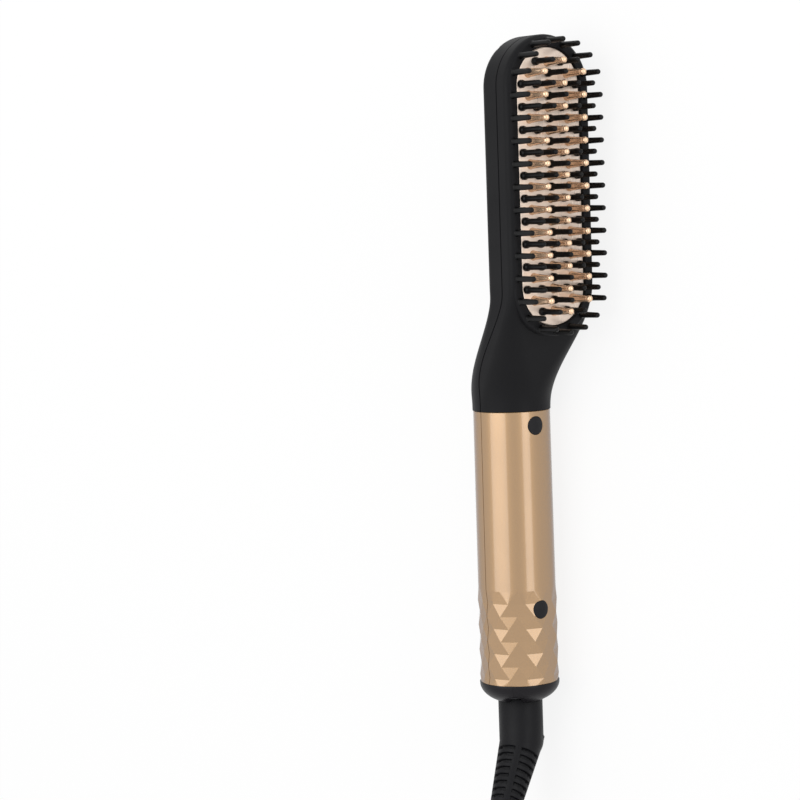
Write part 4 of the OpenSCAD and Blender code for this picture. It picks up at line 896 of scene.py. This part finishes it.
def knob_height(w, z):
    """How far the studded face stands above its valleys: pyramids on a staggered grid."""
    best = 0.0
    for i in range(-1, STUD_ROWS + 2):
        centre_z = KNOB_LOW + i * STUD_PITCH
        for c in ((-2, 0, 2) if i % 2 == 0 else (-1, 1)):
            away = abs(w - c * STUD_STEP) / STUD_STEP + abs(z - centre_z) / STUD_PITCH
            best = max(best, 1 - away)
    return STUD_H * best


field = bmesh.new()
stud_z = [KNOB_LOW + k / 2 * STUD_PITCH for k in range(-1, 2 * STUD_ROWS + 2)]
grid = []
for w in ((i / 2 - 2) * STUD_STEP for i in range(9)):
    row = [(z, knob_height(w, z)) for z in stud_z]
    grid.append([(field.verts.new(UPRIGHT @ Vector((KNOB_TOP - h, w, z))), h) for z, h in row])
for i in range(len(grid) - 1):
    for j in range(len(grid[0]) - 1):
        quad, h = zip(grid[i][j], grid[i + 1][j], grid[i + 1][j + 1], grid[i][j + 1])
        is_valley = h[0] + h[2] < h[1] + h[3]
        for corners in (((0, 1, 2), (0, 2, 3)) if is_valley else ((0, 1, 3), (1, 2, 3))):
            field.faces.new([quad[c] for c in corners])
roof = bmesh.ops.extrude_face_region(field, geom=field.faces[:])
bmesh.ops.translate(field, vec=UPRIGHT.to_3x3() @ Vector((-3, 0, 0)),
                    verts=[v for v in roof["geom"] if isinstance(v, bmesh.types.BMVert)])
bmesh.ops.recalc_face_normals(field, faces=field.faces)
stud_cut = add("stud_cut", bpy.data.meshes.new("stud_cut"))
keep(field, stud_cut.data)
knob = rear_prism("knob", POCKET_W - 0.6, KNOB_LOW, KNOB_LOW + KNOB_LEN, POCKET_FLOOR - 0.3,
                  KNOB_TOP - STUD_H, edge=0.35)
stem = rear_prism("stem", 3.0, KNOB_Z - 2, KNOB_Z + 2, POCKET_FLOOR + 1.6, POCKET_FLOOR - 0.4)
carve(knob, stem, how="UNION")
carve(knob, stud_cut)
edge_round = knob.modifiers.new("bevel", "BEVEL")
edge_round.width, edge_round.segments = KNOB_EDGE * MM, 2
edge_round.limit_method, edge_round.angle_limit = "ANGLE", radians(20)
crease(settle(knob), 25)
knob.name = "studded_knob"
dress(knob, gloss, "switch_slider", "gloss_black", "switch_knob")

# %% [markdown]
# ### Printing
# ON and OFF and three plain dots are pad printed: a thin film of ink. Text curves are turned to
# meshes and given a hair of depth. The words lie on the flat and on the round just below it, so the
# letters are bent to the surface point by point.

# %% Letters and dots
CAPITAL, PRINT_OUT, PRINT_IN = 1.7, 0.02, 0.05


def printed(name, text, middle_z):
    curve = bpy.data.curves.new(name, "FONT")
    curve.body, curve.size = text, CAPITAL / 0.7
    curve.align_x, curve.align_y = "CENTER", "CENTER"
    curve.resolution_u = 6
    curve.space_character = 1.12
    flat = add(name, curve)
    graph = bpy.context.evaluated_depsgraph_get()
    mesh = bpy.data.meshes.new_from_object(flat.evaluated_get(graph))
    bpy.data.objects.remove(flat)
    made = add(name, mesh)
    work = bmesh.new()
    work.from_mesh(mesh)
    bmesh.ops.triangulate(work, faces=work.faces)
    bmesh.ops.subdivide_edges(work, edges=[e for e in work.edges if e.calc_length() > 0.5], cuts=2)
    ys = [v.co.y for v in work.verts]
    shift = (max(ys) + min(ys)) / 2
    shell = bmesh.ops.extrude_face_region(work, geom=work.faces[:])
    raised = {v for v in shell["geom"] if isinstance(v, bmesh.types.BMVert)}
    for v in work.verts:
        w, z = -v.co.x, middle_z + v.co.y - shift
        x = -sqrt(handle_r(z) ** 2 - w * w)
        if z > PANEL_LOW and abs(w) < PANEL_W / 2:
            x = max(x, PANEL_X)
        v.co = UPRIGHT @ Vector((x + (-PRINT_OUT if v in raised else PRINT_IN), w, z))
    bmesh.ops.recalc_face_normals(work, faces=work.faces)
    keep(work, mesh)
    mesh.polygons.foreach_set("use_smooth", [False] * len(mesh.polygons))
    dress(made, ink, "handset", "gloss_black")


printed("printed_on", "ON", POCKET_HIGH + 2.9)
printed("printed_off", "OFF", POCKET_LOW - 3.0)

# %% Three dots beside the switch
DOT_TURN, DOT_R, DOT_HIGH, DOT_PITCH, DOT_STEPS = radians(33), 0.32, -28.6, 6.0, 16
dot_points, dot_faces = [], []
for k in range(3):
    z = DOT_HIGH - DOT_PITCH * k
    r = handle_r(z)
    dot_faces += tube(2, DOT_STEPS, len(dot_points))
    dot_points += [round_at(-DOT_TURN - w / r, r + rise, z + up_z) for rise in (-PRINT_IN, PRINT_OUT)
                   for w, up_z in round_points(DOT_R, DOT_STEPS)]
dots = tidy(piece("printed_dots", dot_points, dot_faces, is_smooth=False))
dress(dots, ink, "handset", "gloss_black")

# %% [markdown]
# ### End caps
# Two halves of one dome-shaped cap meet in a plane through the axis. Each is an outline turned half
# a turn and closed at both ends, a hair short of the plane, so that the joint shows as a line. Its
# rim rises to a notch at both ends of the joint.

# %% End caps
CAP_Z, CAP_LOW, COLLAR_R, CAP_BAND = -HANDLE_LEN, -HANDLE_LEN - CAP_H + 0.7, 8.25, 0.6
HOLE_R, CAP_IN, CAP_SOCKET_R = COLLAR_R + 0.3, 11.2, HANDLE_IN - 0.15
NOTCH, NOTCH_TURN, CAP_STEPS = 3.0, 22, 48
dome_end = degrees(acos(HOLE_R / CAP_R))
dome_h = (CAP_Z - CAP_LOW - CAP_BAND) / sin(radians(dome_end))
cap_outline = [(CAP_IN, CAP_Z + 6), (CAP_SOCKET_R, CAP_Z + 6), (CAP_SOCKET_R, CAP_Z),
               (CAP_R - 0.25, CAP_Z), (CAP_R - 0.07, CAP_Z - 0.07), (CAP_R, CAP_Z - 0.25)]
cap_outline += [(CAP_R * c, CAP_Z - CAP_BAND - dome_h * s)
                for c, s in (polar(1, a) for a in np.linspace(0, dome_end, 14))]
cap_outline += [(HOLE_R, CAP_LOW + 0.25), (HOLE_R, CAP_LOW + 2.6), (CAP_IN, CAP_LOW + 2.6)]

for name, start_turn, node_name in (("cap_left", -48, "end_cap_left"),
                                    ("cap_right", 132, "end_cap_right")):
    turns = np.linspace(start_turn + 0.12, start_turn + 179.88, CAP_STEPS + 1)
    points = []
    for a in turns:
        notch = NOTCH * (1 - float(smooth(min(a - turns[0], turns[-1] - a) / NOTCH_TURN)))
        for r, z in cap_outline:
            raised = notch * float(smooth((CAP_Z - 2.5 - z) / (CAP_H - 3.5)) * smooth((13.2 - r) / 3.6))
            points.append((*polar(r, a), z + raised))
    cap = crease(tidy(piece(name, points, tube(CAP_STEPS + 1, len(cap_outline)))), 40)
    dress(cap, satin, "handset", "satin_black", node_name)

# %% [markdown]
# ### The boot
# The collar turns in the cap, bends at the knee and tapers down to the lead. Between four spines, each
# side of the boot is slotted so that it can flex. The slots are pushed into a fine skin, with soft
# rims and flat floors.

# %% Boot
RIB_PITCH, RIB_T, RIBS, RIB_START, SLOT_DEPTH, SPINE_W, RIB_LEAN = 2.6, 1.25, 12, 4.4, 1.2, 2.3, 0.9
BOOT_R, BOOT_END_R, BOOT_ROUND, BOOT_LIP = COLLAR_R - 0.15, 4.5, 0.8, 0.35
BOOT_TWIST, BOOT_ROWS, BOOT_STEPS, SLOT_RIM, SPINE_RIM = radians(28), 330, 144, 0.2, 0.5
BOOT_FRAME = (UPRIGHT @ Matrix.Rotation(ROLL - BEND_TURN, 4, "Z") @ Matrix.Translation((0, 0, KNEE_Z))
              @ Matrix.Rotation(-BEND, 4, "Y") @ Matrix.Rotation(BOOT_TWIST, 4, "Z"))


def boot_radius(l):
    return float(mix(BOOT_R, BOOT_END_R, np.clip(l / BOOT_LEN, 0, 1)))


boot_points = []
for l in np.linspace(-3.0, BOOT_LEN, BOOT_ROWS):
    for k in range(BOOT_STEPS):
        a = 2 * pi * k / BOOT_STEPS
        r = boot_radius(l)
        from_spine = abs((a + pi / 4) % (pi / 2) - pi / 4) * r - SPINE_W / 2
        along_l = l - RIB_START - RIB_LEAN * (1 - cos(a))
        half_gap = (RIB_PITCH - RIB_T) / 2
        into_slot = half_gap - abs(along_l % RIB_PITCH - half_gap)
        if 0 < along_l < RIB_PITCH * RIBS and l < BOOT_LEN - 4:
            r -= SLOT_DEPTH * float(smooth(into_slot / SLOT_RIM) * smooth(from_spine / SPINE_RIM))
        r -= BOOT_LIP * float(smooth((l - BOOT_LEN + BOOT_ROUND) / BOOT_ROUND))
        boot_points.append((r * cos(a), r * sin(a), -l))
boot = piece("ribbed_boot", boot_points, tube(BOOT_ROWS, BOOT_STEPS), BOOT_FRAME)
crease(tidy(boot), 60)
seat_r, collar_top = 5.0, CAP_LOW + 1.2
collar = lathe("collar", [(KNEE_Z, 0), (KNEE_Z, COLLAR_R), (collar_top - 0.2, COLLAR_R),
                          (collar_top, COLLAR_R - 0.2), (collar_top, seat_r),
                          (CAP_LOW - 0.2, seat_r), (CAP_LOW - 0.2, 0)], 96)
knee_ball = lathe("knee_ball", [(KNEE_Z + rise, max(0, away)) for away, rise in
                                (polar(COLLAR_R, a) for a in np.linspace(-90, 90, 48))], 96)
carve(boot, crease(collar, 40), knee_ball, how="UNION")
crease(boot, 50)
dress(boot, boot_tpe, "lead", "boot_rubber", "cord_boot")

# %% The hanging loop on the boot
EYE_W, EYE_LEN, LOOP_ROD, LOOP_T, LOOP_AT = 3.6, 8.0, 1.8, 3.0, 17.0
loop_out = boot_radius(LOOP_AT) + EYE_W / 2 + 0.3
half_t = LOOP_T / 2


def squared(value):
    """Pushes a cosine or sine outwards, so that a circle becomes a rounded square."""
    return copysign(abs(value) ** 0.5, value)


loop_section = [(0.5 + 0.5 * squared(c), half_t * squared(s)) for c, s in round_points(1, 16)]
loop_points = []
for inner, outer in zip(*(np.array(stadium(EYE_W + 2 * grow, -EYE_LEN / 2 - grow, EYE_LEN / 2 + grow, 24))
                          for grow in (0, LOOP_ROD))):
    for share, height in loop_section:
        z, y = mix(inner, outer, share)
        loop_points.append((-loop_out + y, height, -LOOP_AT + z))
loop_rows = len(loop_points) // len(loop_section)
loop = piece("hang_loop", loop_points, strips(loop_rows, len(loop_section), True, wrap=True), BOOT_FRAME)
web_z, web_y = EYE_LEN / 2 + 0.6, half_t - 0.2
web_outline = [(-LOOP_AT + s * web_z, t * web_y) for s, t in ((-1, -1), (-1, 1), (1, 1), (1, -1))]
web = prism("loop_web", web_outline, -loop_out + EYE_W / 2 + 0.5, -3.0, matrix=BOOT_FRAME)
for item in (tidy(loop), web):
    dress(item, boot_tpe, "lead", "satin_black")

# %% [markdown]
# ### The strap, the plug and its pins
# The hank is held by a woven strap. The plug is a flat two-pin one, a soft moulding over a hard core,
# so all its edges are round. Its pins are nickel plated, with a sleeve of black plastic over the half
# that stays outside the contacts.

# %% Strap round the hank
TIE_T, TIE_W, TIE_R, FREE, EDGE_IN, EDGE_UP = 0.7, 10.0, 2.0, 0.3, 0.15, 0.12
waist_x = [p[0] for p in hank if abs(p[1] - HANK_Y) < RUN / 4]
low_x, high_x = min(waist_x) - CORD_R - FREE + TIE_R, max(waist_x) + CORD_R + FREE - TIE_R
low_z, high_z = TIE_T + TIE_R, 1.0 + LAYER_RISE * (LAYERS - 1) + CORD_D + FREE - TIE_R
corners = ((high_x, high_z), (low_x, high_z), (low_x, low_z), (high_x, low_z))
way = [p for k, centre in enumerate(corners) for p in arc(centre, TIE_R, 90 * k, 90 * k + 90, 8)]
ahead = np.roll(way, -1, 0) - np.roll(way, 1, 0)
out = np.stack([ahead[:, 1], -ahead[:, 0]], 1) / np.linalg.norm(ahead, axis=1)[:, None]
half_tie = TIE_W / 2
under = [(-half_tie, EDGE_UP), (-half_tie + EDGE_IN, 0), (half_tie - EDGE_IN, 0), (half_tie, EDGE_UP)]
section = under + [(y, TIE_T - h) for y, h in under[::-1]]
tie_points = [(x + dx * h, HANK_Y + y, z + dz * h)
              for (x, z), (dx, dz) in zip(way, out) for y, h in section]
tie = tidy(piece("strap", tie_points, strips(len(way), len(section), True, wrap=True), TABLE))
crease(tie, 40)
dress(tie, strap_nylon, "lead", "strap", "hank_tie")

# %% Plug
# Each station is y, half the width, the low and high side, and the rounding of a section.
stations = [(0, 5.0, 3.4, 10.4, 2.4), (-0.6, 6.6, 2.3, 11.5, 2.6), (-1.2, 7.2, 1.9, 11.9, 2.6)]
for k in range(4):
    y, wider = -2.4 - 2.2 * k, 0.15 * k
    stations += [(y, 7.4 + wider, 1.8, 12.0, 2.6), (y - 0.25, 6.4 + wider, 2.1, 11.7, 2.4),
                 (y - 0.95, 6.4 + wider, 2.1, 11.7, 2.4), (y - 1.2, 7.5 + wider, 1.7, 12.1, 2.6)]
stations += [(-12, 9.0, 0.9, 12.9, 2.8), (-16, 12.2, 0.6, 13.2, 3.0), (-20, 15.0, 0.35, 13.45, 3.0),
             (-23.5, 16.6, 0.15, 13.65, 3.0), (-27, 17.0, 0.0, 13.8, 3.0), (-36.6, 17.0, 0.0, 13.8, 3.0),
             (-37.5, 16.6, 0.4, 13.4, 2.8), (-38, 15.9, 1.1, 12.7, 2.4)]
plug_points = []
for y, w, low, high, r in stations:
    for side, rise, a in ((1, high - r, 0), (-1, high - r, 90), (-1, low + r, 180), (1, low + r, 270)):
        corner = arc((side * (w - r), rise), r, a, a + 90, 5)
        plug_points += [(PLUG_X + x, PLUG_Y + y, z) for x, z in corner]
plug_faces = tube(len(stations), len(plug_points) // len(stations))
plug = crease(tidy(piece("mains_plug", plug_points, plug_faces, TABLE)), 35)
dress(plug, satin, "lead", "plug_black", "plug_body")

# %% Pins
PIN_R, PIN_LEN, PIN_GAP, PIN_CORE = 2.0, 19.0, 18.6, 1.7
pin_outline = [(-7.5, 0.0), (-7.5, PIN_CORE), (0.0, PIN_CORE), (9.9, PIN_CORE), (10.0, PIN_R)]
pin_outline += half_ball(PIN_LEN, PIN_R, (0, 20, 40, 60, 75, 89))
sleeve_outline = [(-0.5, 1.72), (9.7, 1.72), (9.98, 1.85), (9.98, PIN_R - 0.12), (9.8, PIN_R),
                  (-0.5, PIN_R)]


def pin_pair(name, outline, paint, slot, *nodes):
    """The same turned piece on both pins. The first one stands for the CAD nodes."""
    pair = []
    for k, s in enumerate((-1, 1)):
        place = Matrix.Translation((PLUG_X + s * PIN_GAP / 2, PLUG_Y - PLUG_LEN, PLUG_T / 2))
        item = lathe("%s_%d" % (name, k), outline, 32, TABLE @ place @ Matrix.Rotation(pi / 2, 4, "X"))
        dress(crease(item, 40), paint, "lead", slot, *(nodes if k == 0 else ()))
        pair.append(item)
    return pair


metal = pin_pair("plug_pin_metal", pin_outline, plated, "pin_metal", "plug_pins")
covers_black = pin_pair("plug_pin_sleeve", sleeve_outline, satin, "plug_black")

# %% The lead joins the rest
lead_curve.materials.append(lead_pvc)
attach(mains_lead, "lead")
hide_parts("power_lead", "lead_hank", "lead_tail")

# %% [markdown]
# ## Floor, lights and world
# The object lies on a plain pale floor. Two long soft boxes run beside it, one high on the left and
# one low on the right: a satin round bar shows them as two bands of light with a darker band
# between them. The world gives the rest of the light evenly. The floor and the world show their pale
# colour to the camera and to glossy and clear surfaces, and the floor keeps a share of its shadow.

# %% Floor
FLOOR_HALF, FLOOR_TONE, FLOOR_GLOW, WORLD_LEVEL, WHITE = 6, 0.95, 0.85, 0.7, (1, 1, 1, 1)


def shown_rays(tree):
    """One for rays from the camera, a glossy surface or a clear one, zero for light on the object."""
    paths = node(tree, "LightPath").outputs
    seen = node(tree, "Math", {0: paths["Is Camera Ray"], 1: paths["Is Glossy Ray"]}, operation="MAXIMUM")
    return node(tree, "Math", {0: seen.outputs[0], 1: paths["Is Transmission Ray"]},
                operation="MAXIMUM").outputs[0]


floor_mesh = bpy.data.meshes.new("floor")
corners = [(FLOOR_HALF * x, FLOOR_HALF * y, 0) for x, y in ((-1, -1), (1, -1), (1, 1), (-1, 1))]
floor_mesh.from_pydata(corners, [], [(0, 1, 2, 3)])
paper = bpy.data.materials.new("paper_backdrop")
paper.use_nodes = True
tree = paper.node_tree
tree.nodes.clear()
amount = node(tree, "Math", {0: shown_rays(tree), 1: FLOOR_GLOW}, operation="MULTIPLY")
matt = node(tree, "BsdfDiffuse", {"Color": (FLOOR_TONE, FLOOR_TONE, FLOOR_TONE, 1)})
glow = node(tree, "Emission", {"Color": WHITE, "Strength": 1.0})
both = node(tree, "MixShader", {0: amount.outputs[0], 1: matt.outputs[0], 2: glow.outputs[0]})
node(tree, "OutputMaterial", {"Surface": both.outputs[0]})
floor_mesh.materials.append(paper)
floor = add("floor", floor_mesh)

# %% Lights and world
BOX_LEN, BOX_Y, BOX_Z = 1.3, 0.35, 0.02


def soft_box(name, angle, distance, width, power):
    """A long area lamp beside the handset. angle is seen along the handle, from +X upwards."""
    data = bpy.data.lights.new(name, "AREA")
    data.shape, data.size, data.size_y, data.energy = "RECTANGLE", width, BOX_LEN, power
    c, s = polar(1, angle)
    add(name, data).matrix_world = facing((-s, 0, c), (0, -1, 0), (c, 0, s),
                                          (distance * c, BOX_Y, BOX_Z + distance * s))


soft_box("left_box", 96, 1.1, 1.0, 6.2)
soft_box("right_box", 8, 1.0, 0.52, 3.5)

world = bpy.data.worlds.new("studio")
bpy.context.scene.world = world
world.use_nodes = True
tree = world.node_tree
tree.nodes.clear()
level = node(tree, "MapRange", {"Value": shown_rays(tree), "To Min": WORLD_LEVEL, "To Max": 1.0})
sky = node(tree, "Background", {"Color": WHITE, "Strength": level.outputs[0]})
node(tree, "OutputWorld", {"Surface": sky.outputs[0]})
bpy.context.scene.view_settings.view_transform = "Standard"
